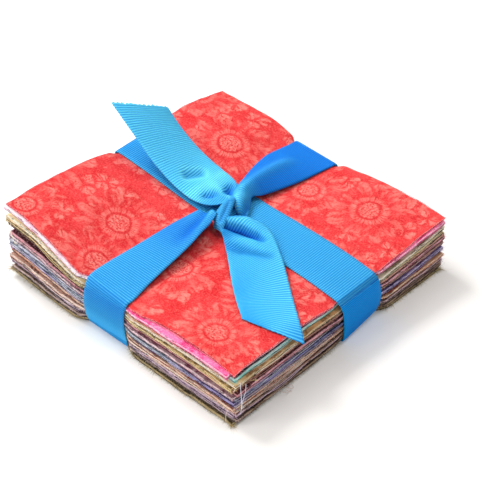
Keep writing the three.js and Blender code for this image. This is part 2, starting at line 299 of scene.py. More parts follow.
def height(tree, x, y):
    """Height of the upper side of a cloth at a place, found just inside its rim."""
    for inward in INWARDS:
        hit = tree.ray_cast(Vector((x * inward, y * inward, ABOVE)), Vector((0, 0, -1)))[0]
        if hit:
            return hit.z
    raise ValueError(f"nothing lies below {x}, {y}")


CORNERS = ((-1, -1), (1, -1), (1, 1), (-1, 1))  # in plan, from the front left one round to the left


def corners(obj):
    """The four corners of a square's solid in plan."""
    spots = [v.co for v in obj.data.vertices]
    return [max(spots, key=lambda p: sx * p.x + sy * p.y).xy for sx, sy in CORNERS]


top_corners = corners(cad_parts[f"square_{SQUARES}"])
print("the top solid's corners in mm:", [tuple(round(v / MM, 1) for v in spot) for spot in top_corners])

# %% Lines of the grid
RIM_LINES = (0.0, 0.5 / SIDE_MM, 1.4 / SIDE_MM)  # extra lines close to each rim, as shares of a side


def spread(cells):
    """Places of the grid lines from 0 to 1, closer together at both rims."""
    inner = cells - 2 * len(RIM_LINES)
    start = RIM_LINES[-1]
    middle = [start + (1 - 2 * start) * k / (inner + 2) for k in range(1, inner + 2)]
    return [*RIM_LINES, *middle, *(1 - line for line in reversed(RIM_LINES))]


print("grid lines in mm:", [round(SIDE_MM * s, 2) for s in spread(14)])

# %% [markdown]
# ## The ribbon's way down the sides
# A tightly tied ribbon draws the rims of the squares in behind it, and bends the uppermost ones
# over. A Shrinkwrap modifier could press them, but it knows nothing of the free rims on either
# side. So the ribbon's way down the four sides is settled before the squares are cut, and cloths
# and ribbon both follow it. A few rows describe each side, and a smooth curve runs through them.

# %% The ribbon down each side
SIDE_REACH = 64.35  # mm from the middle of the stack to the ribbon down its sides
HALF_WIDTH = 11.5  # mm, half the ribbon's width
FRONT_BACK_X = -6.0  # middle of the strand from front to back
LEFT_RIGHT_Y = 8.0  # middle of the strand from left to right
MIDDLES = {"front": FRONT_BACK_X, "back": FRONT_BACK_X, "right": LEFT_RIGHT_Y, "left": LEFT_RIGHT_Y}
STACK_TOPS = {"front": 24.0, "right": 24.0, "back": 24.0, "left": 32.5}  # mm, under the ribbon
# Rows of one side: share of the way down; how far the ribbon's two edges are drawn in, in mm; and
# how far they have moved along the side, in mm, the edge at the lower x or y first.
SIDES = {
    "front": (
        (0.0, 2.3, 1.0, 0.0, 0.0), (0.12, 1.2, 0.6, -0.1, -0.5), (0.27, 0.4, 0.6, -0.5, -1.1),
        (0.57, 0.4, 1.3, -1.0, -1.9), (0.82, 1.6, 2.2, -1.6, -2.0), (1.0, 3.1, 3.0, -2.1, -1.9),
    ),
    "right": (
        (0.0, 1.5, 1.5, 0.0, 0.0), (0.1, 0.4, 0.7, 0.5, 0.6), (0.25, -0.3, 0.2, 1.4, 1.6),
        (0.55, -0.2, 0.4, 2.5, 3.0), (0.8, 0.0, 1.3, 3.1, 3.8), (1.0, 0.4, 2.9, 3.5, 4.2),
    ),
    "back": (
        (0.0, 1.4, 1.6, 0.0, 0.0), (0.2, 0.3, 0.4, 0.0, 0.0),
        (0.6, 0.3, 0.5, 0.0, 0.0), (1.0, 2.4, 2.2, 0.0, 0.0),
    ),
    "left": (
        (0.0, 1.4, 1.2, 0.0, 0.0), (0.2, 0.3, 0.4, 0.0, 0.0),
        (0.6, 0.5, 0.3, 0.0, 0.0), (1.0, 2.2, 2.4, 0.0, 0.0),
    ),
}


def within(value, low=0.0, high=1.0):
    return max(low, min(high, value))


def between(rows, place):
    """The row at a place from 0 to the last, on a smooth curve through all the rows."""
    i = max(0, min(int(place), len(rows) - 2))
    f = place - i
    four = (rows[min(max(k, 0), len(rows) - 1)] for k in (i - 1, i, i + 1, i + 2))
    return [
        0.5 * (2 * b + (c - a) * f + (2 * a - 5 * b + 4 * c - d) * f * f + (3 * b - a - 3 * c + d) * f ** 3)
        for a, b, c, d in zip(*four)
    ]


def down_side(side, down):
    """How the ribbon runs at a share of the way down a side: for each of its two edges, how far it
    is drawn in from its greatest reach, and how far it has moved along the side."""
    rows = SIDES[side]
    i = max(k for k in range(len(rows) - 1) if down >= rows[k][0] or k == 0)
    share = (down - rows[i][0]) / (rows[i + 1][0] - rows[i][0])
    return between(rows, i + within(share))[1:]


def ribbon_at(side, z):
    """The ribbon at a height in mm on a side: the share of the way down, the places of its two
    edges along the side, and how far each is drawn in."""
    down = within(1 - z / STACK_TOPS[side])
    first, second, move, other_move = down_side(side, down)
    middle = MIDDLES[side]
    return down, middle - HALF_WIDTH + move, middle + HALF_WIDTH + other_move, first, second


print("the ribbon at the foot of the right side, in mm:", [round(v, 1) for v in ribbon_at("right", 0)[1:3]])

# %% How the rims give way
RIM_REACH = HALF / MM + 0.6  # mm from the middle to the outermost rims
RIBBON_ROOM = 0.6  # mm from the middle of the ribbon's thickness to a rim behind it
DRAWN_ZONE = 16.0  # mm inside the rims that give way with them
BESIDE = 3.5  # mm beside the ribbon where the rims come out again
ROLL_WIDTH = 4.0  # mm of the upper rims that bend over with the ribbon
ROLL_DEPTH = 0.9
ROLL_SHARE = 0.25  # of the way down, where the last rim bends over
# How far the top square's edge lies inside the others, in mm, by the place along the edge.
TOP_INSET = {
    "front": ((-20, 0.0), (14, 0.0), (20, 1.6), (28, 2.4), (38, 2.1), (52, 1.8), (58, 1.2), (63.5, 0.5)),
    "right": (
        (-63.5, 0.6), (-56, 1.6), (-38, 1.3), (-12, 1.1), (-4, 0.5),
        (18, 0.5), (26, 1.1), (46, 1.1), (53, 0.5), (63.5, 0.0),
    ),
}


def zone(out):
    """1 at the outermost rim, falling to 0 where nothing gives way any more."""
    return max(0.0, (out - SIDE_REACH + DRAWN_ZONE) / DRAWN_ZONE)


def drawn_in(side, out, across, z):
    """How far in mm the ribbon draws a rim in at a height, and how far it bends it down."""
    down, start, end, first, second = ribbon_at(side, z)
    beside = max(0.0, start - across, across - end) / BESIDE
    if beside >= 1 or out < SIDE_REACH - DRAWN_ZONE:
        return 0.0, 0.0
    q = within((across - start) / (end - start))
    room = SIDE_REACH - (first + (second - first) * q) - RIBBON_ROOM
    ease = 1 - beside ** 2 * (3 - 2 * beside)
    near = max(0.0, 1 - (SIDE_REACH - out) / ROLL_WIDTH) ** 2
    inwards = max(0.0, RIM_REACH - room) * zone(out) * ease
    return inwards, ROLL_DEPTH * near * ease * max(0.0, 1 - down / ROLL_SHARE)


def inset(side, out, across):
    """How far in mm the top square is drawn in at a place."""
    rows = TOP_INSET[side]
    after = next((k for k, row in enumerate(rows) if row[0] >= across), len(rows) - 1)
    (start, one), (end, other) = rows[max(0, after - 1)], rows[after]
    share = within((across - start) / max(end - start, 1e-9))
    return (one + (other - one) * share) * zone(out)


pressed = drawn_in("front", HALF / MM, FRONT_BACK_X, STACK_TOPS["front"])
print("drawn in and bent down under the ribbon, in mm:", [round(v, 2) for v in pressed])

# %% [markdown]
# ## One square's cloth
# A square is laid on its solid, its edges waver, the ribbon presses it, and it gets its thickness
# last. Cut edges are never quite straight: they wander in and out and up and down by a few tenths
# of a millimetre, differently on every square. A Solidify modifier would make the cloth equally
# thick all over. But many more cloths lie in such a pack than are made here, so the underside is
# extruded, and each frayed rim swells until it nearly meets the cloth below it.

# %% A square laid on its solid
SMOOTHINGS = 5
CLINGING = {16: 0.95, 15: 2.5, 14: 4.4, 13: 7.2, 12: 9.6}  # at most so far in mm under the top square
# Two squares are twisted in the stack, and their corners sit a little off a true square:
# number to the shift of its four corners, in mm.
TWISTED = {
    15: ((0.0, 3.4), (-2.7, -0.3), (-0.5, -1.6), (1.6, 0.6)),
    16: ((2.6, -3.4), (-0.7, 0.9), (-1.6, 1.6), (-2.2, -3.0)),
}


def lay(number, cells, lines):
    """A grid laid on a square's solid and smoothed, and its corners by column and row."""
    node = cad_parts[f"square_{number:02d}"]
    tree, top_tree = surface(node), surface(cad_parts[f"square_{SQUARES}"])
    plan_corners = corners(node)
    for corner, shift in zip(plan_corners, TWISTED.get(number, ())):
        corner += Vector(shift) * MM
    front_left, front_right, back_right, back_left = plan_corners
    mesh = bmesh.new()
    mesh.loops.layers.uv.new("cloth")
    mesh.verts.layers.float.new("reverse")
    spots = grid(mesh, cells, cells)
    for (i, j), v in spots.items():
        s, t = lines[i], lines[j]
        plan = front_left.lerp(front_right, s).lerp(back_left.lerp(back_right, s), t)
        level = height(tree, plan.x, plan.y)
        if number in CLINGING:
            level = max(level, height(top_tree, plan.x, plan.y) - CLINGING[number] * MM)
        v.co = (plan.x, plan.y, level)
    bmesh.ops.recalc_face_normals(mesh, faces=mesh.faces)
    if mesh.faces[0].normal.z < 0:
        bmesh.ops.reverse_faces(mesh, faces=mesh.faces)
    for _ in range(SMOOTHINGS):
        bmesh.ops.smooth_vert(mesh, verts=mesh.verts, factor=0.5, use_axis_z=True)
    return mesh, spots


print("squares that cling to the top one:", *CLINGING, "and twisted ones:", *TWISTED)

# %% Wavering edges
WAVER = 0.35 * MM  # a cut edge wanders in and out by this much
WAVER_LENGTH = 7 * MM
FLUTTER = 0.3 * MM  # and up and down by this much
FLUTTER_LENGTH = 9 * MM
WAVERING = 3 * MM  # how far in from the edge the cloth goes with it


def wander(seed, along, size):
    """A gentle random number for a place along a rim."""
    return noise.noise(Vector((along / size, seed * 7.31, seed * 1.7)))


def let_waver(mesh, spots, number, lines):
    """Maps the cloth flat, and lets its edges wander."""
    uv = mesh.loops.layers.uv["cloth"]
    for (i, j), v in spots.items():
        s, t = lines[i], lines[j]
        for loop in v.link_loops:
            loop[uv].uv = (s * SIDE, t * SIDE)
        for share, other, way in ((s, t, 0), (t, s, 1)):
            near = max(0.0, 1 - min(share, 1 - share) * SIDE / WAVERING)
            if near:
                side = number * 4 + way * 2 + (share > 0.5)
                v.co[way] += WAVER * near * wander(side, other * SIDE, WAVER_LENGTH)
                v.co.z += FLUTTER * near * wander(side + 0.5, other * SIDE, FLUTTER_LENGTH)


print("one edge's wander in mm:", [round(WAVER / MM * wander(4, k * MM, WAVER_LENGTH), 2) for k in range(5)])

# %% Pressed by the ribbon, and thickened
CLOTH_THICK = 0.9 * MM
MOST_FRAYED = 2.3 * MM  # a frayed rim swells to this where it has the room
THICKEST_RIMS = {17: 0.7, 16: 1.3, 15: 1.9, 14: 2.8, 13: 2.0, 2: 1.7, 1: 1.2}  # in mm, where they differ
THINNEST_RIM = 0.7 * CLOTH_THICK
RIM_ROOM = 0.22 * MM  # kept free under it
CREASED = math.radians(50)  # a sharper bend than this isn't shaded smoothly


def press(mesh, number):
    """Draws the rims in behind the ribbon, and the top square's edges in all along."""
    for v in mesh.verts:
        x, y, z = v.co / MM
        in_x, down_x = drawn_in("right" if x > 0 else "left", abs(x), y, z)
        in_y, down_y = drawn_in("back" if y > 0 else "front", abs(y), x, z)
        if number == SQUARES:
            in_x += inset("right", x, y)
            in_y += inset("front", -y, x)
        v.co -= Vector((math.copysign(in_x, x), math.copysign(in_y, y), down_x + down_y)) * MM


def rim_thickness(number, v, below):
    """How thick a square's frayed rim is at a place: down to just above what lies below it."""
    most = THICKEST_RIMS[number] * MM if number in THICKEST_RIMS else MOST_FRAYED
    level = height(below, v.co.x, v.co.y) if below else 0.0
    return max(THINNEST_RIM, min(most, v.co.z - level - RIM_ROOM))


def thicken(mesh, spots, thick):
    """Gives the cloth its underside, and marks it as the reverse."""
    reverse = mesh.verts.layers.float["reverse"]
    tops = {v.co.to_tuple(): thick[spot] for spot, v in spots.items()}
    underside = bmesh.ops.extrude_face_region(mesh, geom=mesh.faces[:], use_keep_orig=True)["geom"]
    for v in underside:
        if isinstance(v, bmesh.types.BMVert):
            v.co.z -= tops[v.co.to_tuple()]
            v[reverse] = 1.0
    bmesh.ops.recalc_face_normals(mesh, faces=mesh.faces)


print("rims from", round(THINNEST_RIM / MM, 2), "mm to", max(THICKEST_RIMS.values()), "mm thick")

# %% Cutting the stack
UNDER_CELLS = 46  # a hidden square shows only its rim
TOP_CELLS = 104
rims = {}  # number of a square to its rim's corners, in order, for the frayed edge


def cut_square(number, cells, below=None):
    """One square's cloth. below is the surface of the cloth that it lies on, if it isn't the table."""
    lines = spread(cells)
    mesh, spots = lay(number, cells, lines)
    let_waver(mesh, spots, number, lines)
    press(mesh, number)
    thick = {}
    for (i, j), v in spots.items():
        at_rim = min(i, j, cells - i, cells - j) < len(RIM_LINES)
        thick[i, j] = rim_thickness(number, v, below) if at_rim else CLOTH_THICK
    walk = range(cells + 1)
    sides = (
        [(k, 0) for k in walk], [(cells, k) for k in walk],
        [(cells - k, cells) for k in walk], [(0, cells - k) for k in walk],
    )
    rims[number] = [[(spots[spot].co.copy(), thick[spot]) for spot in side] for side in sides]
    thicken(mesh, spots, thick)
    obj = built(mesh, f"cloth_{number:02d}", smooth=True)
    obj.data.set_sharp_from_angle(angle=CREASED)
    return obj


cloths, below = {}, None
for number in range(1, SQUARES + 1):
    cloths[number] = cut_square(number, TOP_CELLS if number == SQUARES else UNDER_CELLS, below)
    below = surface(cloths[number])
print("heights of the top square's corners:", [round(1000 * rim[0][0].z, 1) for rim in rims[SQUARES]])

# %% [markdown]
# ## Cotton
# Quilting cotton is a plain weave of fine matt yarns, printed on one side. Two crossed waves make
# the weave for the bump, and mottled noise stands for a batik-like print. Images of cloth would do
# as well, but noise needs no files and runs round a cut edge without a seam. There the print stops
# and the pale inside of the yarns shows, so the colour is paler and streaked.

# %% Weave and noise
YARN = 0.38 * MM  # from one yarn to the next
THREAD_SCALE = (240.0, 240.0, 2600.0)  # per metre, so that a thread is long along the rims and thin


def plain_weave(finish, plan):
    """Height of a plain weave, from 0 to 1: yarns across and along, one over the other."""
    across, along = (finish.math("SINE", part * (math.pi / YARN)) for part in finish.split(plan)[:2])
    return across * along * 0.5 + 0.5


def edge_share(finish, plan, depth):
    """1 on the cut edge of a square, falling to 0 at that depth."""
    off = [finish.math("ABSOLUTE", part - HALF) for part in finish.split(plan)[:2]]
    return finish.ramp(HALF - finish.math("MAXIMUM", *off), 0.0, depth, 1.0, 0.0)


def speckle(finish, size):
    """Fine noise in the object's own space, so that it runs round a cut edge as well."""
    return finish.noise(finish.value("TexCoord", "Object"), 1 / size)


def lengthwise(finish):
    """Noise drawn out along the rims, for the fine threads that lie in them."""
    place = finish.value("TexCoord", "Object")
    return finish.noise(finish.value("Mapping", Vector=place, Scale=THREAD_SCALE))


print("yarns to the centimetre:", round(10 * MM / YARN))

# %% A frayed rim's colours
LINE_WANDER = 70.0  # how closely, per metre, the lines along a rim rise and fall
LEVEL_DRIFT = 1.6  # how far they go their own ways at the top and at the foot of a rim
NEXT_PRINT = 3.7  # how far apart in the noise two prints lie
SWAY, FIBRE_SWAY = 1.7, 0.9  # shares of a rim's height that the lines rise and fall by
FIBRE = 0.6 * MM
SHADED = (38, 22, 22)  # painted shade, for the deep gaps between two rims
# The teal rim has a painted highlight: less painted shade in its flecks and at its foot.
PAINTED_HIGHLIGHT_RIM = 15
DOUBLE = {13, 8}  # thick rims that show their yarns twice
TWICE = 1.98  # a little less than two, so that no third row starts at the foot


def cut_ends(finish, plan, number, ground, figure, yarn):
    """Colour and relief of a frayed rim. Pale bare yarns lie along its upper part, and the print's ground
    and figure show below them. Its foot gets painted shade, dark flecks and threads of painted shade mark
    the gaps, and all of these lines wander and break."""
    level = finish.value("Attribute", "Fac", {"attribute_name": "reverse"})
    x, y, _ = finish.split(plan)
    drift = level * LEVEL_DRIFT + number * NEXT_PRINT
    sway = finish.noise(finish.value("CombineXYZ", X=x * LINE_WANDER, Y=y * LINE_WANDER, Z=drift))
    fibres, threads = speckle(finish, FIBRE), lengthwise(finish)
    lines = finish.math("FRACT", level * TWICE) if number in DOUBLE else level
    lines = lines + (sway * SWAY + fibres * FIBRE_SWAY - (SWAY + FIBRE_SWAY) / 2)
    painted_shade = colour(SHADED)
    # Shares of painted shade in the dark flecks and threads, and where the painted shade at a rim's foot
    # starts.
    dark, painted_foot_start = (0.25, 0.88) if number == PAINTED_HIGHLIGHT_RIM else (0.8, 0.66)
    ends = yarn
    # What decides where a colour lies, from where to where, its share at both, and the colour.
    for grain, low, high, start, end, over in (
        (lines, 0.3, 0.38, 0.0, 1.0, ground),
        (lines, 0.5, 0.58, 0.0, 1.0, figure),
        (lines, 0.68, 0.8, 0.0, 1.0, painted_shade),
        (fibres, 0.56, 0.6, 0.0, 0.8, yarn),
        (fibres, 0.36, 0.42, dark, 0.0, painted_shade),
        (threads, 0.555, 0.6, 0.0, 0.85, yarn),
        (threads, 0.395, 0.44, dark, 0.0, painted_shade),
        (level, painted_foot_start, 0.96, 0.0, 0.95, painted_shade),
    ):
        ends = finish.mix(finish.ramp(grain, low, high, start, end), ends, over)
    return ends, fibres + threads


print("rims with two rows of yarns:", *sorted(DOUBLE))

# %% Prints that change across the cloth, and painted shade on the front right side
# Places from 0 at the front left corner to 1 at the back right one, where a change starts and ends.
# The changes at the front corners darken the front right side. They are partly the prints' own colours and
# partly painted shade for that side, which is turned from the window.
FRONT_CORNER, NEAR_CORNER = (0.5, 0.54), (0.49, 0.53)
BEHIND_RIBBON = (0.76, 0.8)
# Number to its changes in turn: their place, and the ground, figure and yarn from there on.
RUNNING = {
    2: ((FRONT_CORNER, (130, 98, 76), (70, 44, 30), (186, 156, 124)),),
    3: ((FRONT_CORNER, (142, 112, 94), (78, 50, 36), (192, 164, 142)),),
    4: (
        (FRONT_CORNER, (152, 118, 106), (70, 42, 38), (196, 164, 148)),
        (BEHIND_RIBBON, (190, 140, 150), (96, 50, 70), (248, 216, 222)),
    ),
    6: ((BEHIND_RIBBON, (255, 184, 132), (206, 92, 50), (255, 228, 200)),),
    7: (
        (FRONT_CORNER, (136, 102, 100), (60, 34, 44), (186, 158, 156)),
        (BEHIND_RIBBON, (232, 188, 232), (134, 80, 158), (255, 240, 255)),
    ),
    8: (
        ((0.46, 0.3), (150, 172, 192), (82, 92, 128), (230, 238, 250)),
        (FRONT_CORNER, (66, 66, 126), (24, 20, 62), (150, 152, 204)),
        (BEHIND_RIBBON, (156, 132, 214), (70, 50, 132), (232, 218, 255)),
    ),
    9: (
        (FRONT_CORNER, (88, 92, 142), (34, 32, 74), (156, 158, 198)),
        (BEHIND_RIBBON, (206, 176, 196), (110, 66, 90), (255, 232, 240)),
    ),
    10: ((FRONT_CORNER, (138, 98, 84), (76, 40, 36), (184, 146, 128)),),
    13: (
        (NEAR_CORNER, (146, 108, 70), (80, 52, 28), (196, 162, 120)),
        (BEHIND_RIBBON, (176, 156, 116), (74, 62, 38), (240, 226, 190)),
    ),
    14: (
        (NEAR_CORNER, (206, 154, 100), (136, 92, 52), (232, 206, 164)),
        (BEHIND_RIBBON, (226, 216, 184), (156, 142, 108), (255, 248, 230)),
    ),
    16: (((0.25, 0.17), (255, 236, 244), (236, 196, 216), (255, 244, 250)),),
}


def running(finish, plan, number, *colours):
    """The print's colours with their changes across the cloth, partly painted shade on the front right
    side. One that starts above where it ends holds from the front left corner as far as there."""
    x, y, _ = finish.split(plan)
    along = (x + y) / (2 * SIDE)
    for (start, end), *others in RUNNING.get(number, ()):
        shares = (0.0, 1.0) if start < end else (1.0, 0.0)
        share = finish.ramp(along, min(start, end), max(start, end), *shares)
        colours = [finish.mix(share, old, colour(new)) for old, new in zip(colours, others)]
    return colours


print("prints that change:", *RUNNING)

# %% A printed cotton
BLOTCHES = 110.0  # to the metre
LEDGE_SHADE = 0.4  # share of painted shade on a ledge between two rims, for the shade in the gap
LOWEST_UNSHADED_LEDGE = 13  # from this square up the ledges get no painted shade
PAINTED_SHADE_FACES = {15: (6, 52, 64), 12: (66, 26, 26), 11: (104, 28, 44)}  # faces painted dark all over, for the shade in the deep gaps above them
LINT = 0.7 * MM  # size of the pale flecks of loose fibre on a ledge
RIM_DEPTH = 0.5 * MM  # how far in from the edge a cut shows
WEAVE_DEPTH = 0.12 * MM
FRAYED_DEPTH = 0.6 * MM


def woven(finish, plan):
    """The bump of the weave."""
    return finish.value("Bump", Strength=0.35, Distance=WEAVE_DEPTH, Height=plain_weave(finish, plan))


def cotton(number, ground, figure, yarn):
    """A printed cotton: the print's ground and figure, and the colour of its cut yarns."""
    finish = Nodes(bpy.data.materials.new(f"cotton_{number:02d}"))
    plan = finish.value("UVMap", 0, {"uv_map": "cloth"})
    ground, figure, yarn = running(finish, plan, number, colour(ground), colour(figure), colour(yarn))
    # Some faces are painted dark, as painted shade.
    if number in PAINTED_SHADE_FACES:
        face = colour(PAINTED_SHADE_FACES[number])
    else:
        face = finish.mix(finish.ramp(finish.noise(plan, BLOTCHES, 3.0), 0.45, 0.6), ground, figure)
    # The ledges of the lower squares get painted shade.
    if number < LOWEST_UNSHADED_LEDGE:
        face = finish.mix(LEDGE_SHADE, face, colour(SHADED))
    face = finish.mix(finish.ramp(speckle(finish, LINT), 0.5, 0.62, 0.0, 0.3), face, yarn)
    ends, relief = cut_ends(finish, plan, number, ground, figure, yarn)
    at_rim = edge_share(finish, plan, RIM_DEPTH)
    bump = finish.value(
        "Bump", Strength=at_rim, Distance=FRAYED_DEPTH, Height=relief, Normal=woven(finish, plan)
    )
    return finish.end(finish.value(
        "BsdfPrincipled", Base_Color=finish.mix(at_rim, face, ends), Normal=bump,
        Roughness=0.92, Specular_IOR_Level=0.2, Sheen_Weight=0.12,
    ))


# From the lowest up: ground, figure and cut yarn of each print.
PRINTS = {
    1: ((92, 76, 44), (56, 46, 26), (206, 184, 136)),
    2: ((140, 112, 104), (84, 60, 58), (222, 196, 186)),
    3: ((152, 128, 150), (98, 66, 92), (232, 210, 226)),
    4: ((178, 142, 164), (92, 62, 104), (240, 214, 232)),
    5: ((244, 184, 160), (132, 62, 46), (255, 240, 228)),
    6: ((248, 176, 140), (190, 88, 58), (255, 230, 208)),
    7: ((214, 182, 220), (118, 72, 142), (252, 240, 255)),
    8: ((84, 72, 150), (34, 22, 84), (190, 178, 232)),
    9: ((176, 184, 222), (74, 72, 132), (242, 242, 255)),
    10: ((234, 188, 200), (158, 80, 108), (255, 234, 240)),
    11: ((206, 112, 132), (136, 40, 66), (250, 190, 202)),
    12: ((160, 100, 84), (84, 40, 32), (236, 176, 160)),
    13: ((216, 184, 114), (118, 90, 44), (252, 230, 176)),
    14: ((255, 228, 176), (232, 188, 122), (255, 250, 232)),
    # The teal's rim colours are painted pale, as a highlight along its edge.
    15: ((150, 255, 248), (90, 230, 222), (230, 255, 252)),
    16: ((246, 112, 164), (226, 50, 120), (255, 208, 226)),
}
for number, (ground, figure, yarn) in PRINTS.items():
    cloths[number].data.materials.append(cotton(number, ground, figure, yarn))
print("prints made:", len(PRINTS))

# %% [markdown]
# ## The top square's flowers
# The uppermost print is tone on tone: large open flowers in pale coral on a coral red ground. It
# could be painted by hand as an image. Here a cell pattern scatters the flowers' middles over the
# cloth, so that no two flowers are alike. Round each middle the distance gives the rings and the
# angle gives the petals. A second, smaller scatter fills the ground with sprigs, and noise breaks
# every line, as a printed pattern's brush marks are broken.

# %% Shapes of a print
DEEP_RED = (210, 28, 36)
CORAL_RED = (226, 54, 58)
PALE_CORAL = (240, 142, 130)
DARK_LINE = (176, 14, 30)
CUT_RED = (176, 30, 52)
CUT_PINK = (248, 150, 156)
YARN_END, TOP_RIM_DEPTH = 0.5 * MM, 0.3 * MM
FLOWER_PITCH, PETALS = 35 * MM, 14
LEAF_PITCH, LEAVES = 13 * MM, 3
STREAK_CHANGE = 0.14  # how much a brush mark changes on its way out, to the mm
# How fine the print's noises are, to the metre.
CLOUDS, WAVERING_LINES, CRACKS, FLECKS, BREAKS, BRUSH = 90.0, 130.0, 170.0, 300.0, 420.0, 520.0
DISC_GRAIN, DOTS, INK_GRAIN = 1100.0, 1300.0, 1500.0


def scattered(finish, plan, spacing, shift, waver):
    """A scatter of middles over the cloth: the distance from the nearest one in mm, the angle
    round it in turns, the direction from it, and a random number of its own."""
    moved = finish.value("Mapping", Vector=plan, Location=(shift, shift * 0.6, 0))
    broken = finish.value(
        "TexNoise", "Color", Vector=moved, Scale=WAVERING_LINES, Detail=3.0, Roughness=0.6
    )
    nudge = finish.vector("MULTIPLY_ADD", broken, (waver,) * 3, (-waver / 2,) * 3)
    bent = finish.vector("ADD", moved, nudge)
    cells = finish.node(
        "TexVoronoi", {"voronoi_dimensions": "2D"}, Vector=bent, Scale=1 / spacing, Randomness=0.6
    )
    middle, chance = (Value(finish, cells.outputs[name]) for name in ("Position", "Color"))
    away = finish.vector("SUBTRACT", bent, middle)
    x, y, _ = finish.split(away)
    size, phase, _ = finish.split(chance)
    radius = finish.math("SQRT", x * x + y * y) / MM * finish.ramp(size, 0.0, 1.0, 0.92, 1.2)
    return radius, finish.math("ARCTAN2", y, x) / math.tau, finish.vector("NORMALIZE", away), phase


def petals(finish, radius, turn, phase, count, start, end):
    """One ring of pointed petals between two radii: 1 inside a petal, falling to 0 at its outline."""
    fan = finish.math("FRACT", turn * float(count) + phase)
    across = finish.math("ABSOLUTE", (fan - 0.5) * 2.0)
    out = (radius - (start + end) / 2) / ((end - start) / 2)
    return finish.ramp(1.0 - out * out - across, -0.15, 0.45)


def brushed(finish, radius, way, fineness, low, high):
    """Streaks that run outwards from a middle, like brush marks."""
    lift = finish.value("CombineXYZ", Z=radius * STREAK_CHANGE)
    place = finish.vector("ADD", finish.vector("MULTIPLY", way, (fineness,) * 3), lift)
    return finish.ramp(finish.noise(place), low, high)


def noise_share(finish, plan, scale, low, high, start, end, detail=3.0):
    """Noise eased between two shares, to break a printed shape."""
    return finish.ramp(finish.noise(plan, scale, detail, 0.62), low, high, start, end)


print("flowers to a square, about:", round((SIDE / FLOWER_PITCH) ** 2))

# %% Flower print


def flower_shapes(finish, plan):
    """How pale the print is: each flower's disc, its ring of ticks and two rings of petals, and the
    sprigs between the flowers. And how dark: dots, an outline and fine cracks. Radii are in mm."""
    radius, turn, way, phase = scattered(finish, plan, FLOWER_PITCH, 0.013, 0.003)
    grain = noise_share(finish, plan, DISC_GRAIN, 0.36, 0.62, 0.2, 1.0, 1.0)
    disc = finish.ramp(radius, 4.2, 5.4, 0.85, 0.15) * grain
    ring = finish.ramp(radius, 5.6, 6.8) * finish.ramp(radius, 7.8, 10.0, 0.7, 0.0)
    ticks = ring * brushed(finish, radius, way, 12.0, 0.3, 0.6)
    near = petals(finish, radius, turn, phase, PETALS, 8.0, 17.0)
    far = petals(finish, radius, turn, phase + 0.5, PETALS, 11.0, 21.0)
    streaks = finish.ramp(brushed(finish, radius, way, 5.0, 0.38, 0.62), 0.0, 1.0, 0.15, 1.0)
    tips = finish.ramp(radius, 10.0, 17.0, 0.4, 0.85)
    fans = finish.math("MAXIMUM", near * 0.8, far * 0.7) * tips * streaks
    leaf_radius, leaf_turn, leaf_way, leaf_phase = scattered(finish, plan, LEAF_PITCH, 0.041, 0.005)
    leaf = petals(finish, leaf_radius, leaf_turn, leaf_phase, LEAVES, 0.5, 6.5)
    leaf = leaf * brushed(finish, leaf_radius, leaf_way, 3.4, 0.38, 0.6)
    leaf = leaf * finish.ramp(radius, 13.0, 18.0, 0.0, 0.8)
    pale = disc
    for shape in (ticks, fans, leaf):
        pale = finish.math("MAXIMUM", pale, shape)
    grain = noise_share(finish, plan, DOTS, 0.56, 0.66, 0.0, 1.0, 1.0)
    dots = finish.ramp(radius, 3.6, 4.8, 0.7, 0.0) * grain
    outline = finish.ramp(radius, 4.6, 5.3) * finish.ramp(radius, 5.5, 6.3, 0.22, 0.0)
    cracks = finish.math("ABSOLUTE", noise_share(finish, plan, CRACKS, 0.3, 0.7, -1.0, 1.0))
    cracks = finish.ramp(cracks, 0.0, 0.14, 0.5, 0.0)
    cracks = cracks * noise_share(finish, plan, BREAKS, 0.4, 0.6, 0.0, 1.0)
    return pale, finish.math("MAXIMUM", cracks, finish.math("MAXIMUM", dots, outline))


def flower_print():
    """The top square's cotton."""
    finish = Nodes(bpy.data.materials.new(f"cotton_{SQUARES}"))
    plan = finish.value("UVMap", 0, {"uv_map": "cloth"})
    pale, dark = flower_shapes(finish, plan)
    pale = pale * noise_share(finish, plan, BRUSH, 0.3, 0.6, 0.5, 1.0)
    flecks = noise_share(finish, plan, FLECKS, 0.54, 0.72, 0.0, 0.5, 4.0)
    grain = noise_share(finish, plan, INK_GRAIN, 0.3, 0.7, -0.09, 0.09, 1.0)
    pale = finish.math("MAXIMUM", pale, flecks) + grain
    clouds = noise_share(finish, plan, CLOUDS, 0.34, 0.66, 0.0, 1.0)
    ground = finish.mix(clouds, colour(DEEP_RED), colour(CORAL_RED))
    face = finish.mix(dark, finish.mix(pale, ground, colour(PALE_CORAL)), colour(DARK_LINE))
    ends = finish.ramp(speckle(finish, YARN_END), 0.4, 0.6)
    ends = finish.mix(ends, colour(CUT_RED), colour(CUT_PINK))
    skin = finish.mix(edge_share(finish, plan, TOP_RIM_DEPTH), face, ends)
    return finish.end(finish.value(
        "BsdfPrincipled", Base_Color=skin, Normal=woven(finish, plan),
        Roughness=0.92, Specular_IOR_Level=0.15, Sheen_Weight=0.03,
    ))


cloths[SQUARES].data.materials.append(flower_print())
print("flower print nodes:", len(cloths[SQUARES].data.materials[0].node_tree.nodes))

# %% [markdown]
# ## Frayed edges
# A rotary-cut edge of quilting cotton frays as soon as it is handled: short ends of the cross
# yarns stand out of it like teeth, and the outermost yarns come loose and lie along it. Hair could
# stand for them in a picture, but only meshes go along when the pack is exported. So the teeth
# start as one long grid with every second column of faces taken out, and each slat that is left
# is moved to its place on the rim. The loose yarns are thin rings pushed out again and again.

# %% Places along a rim


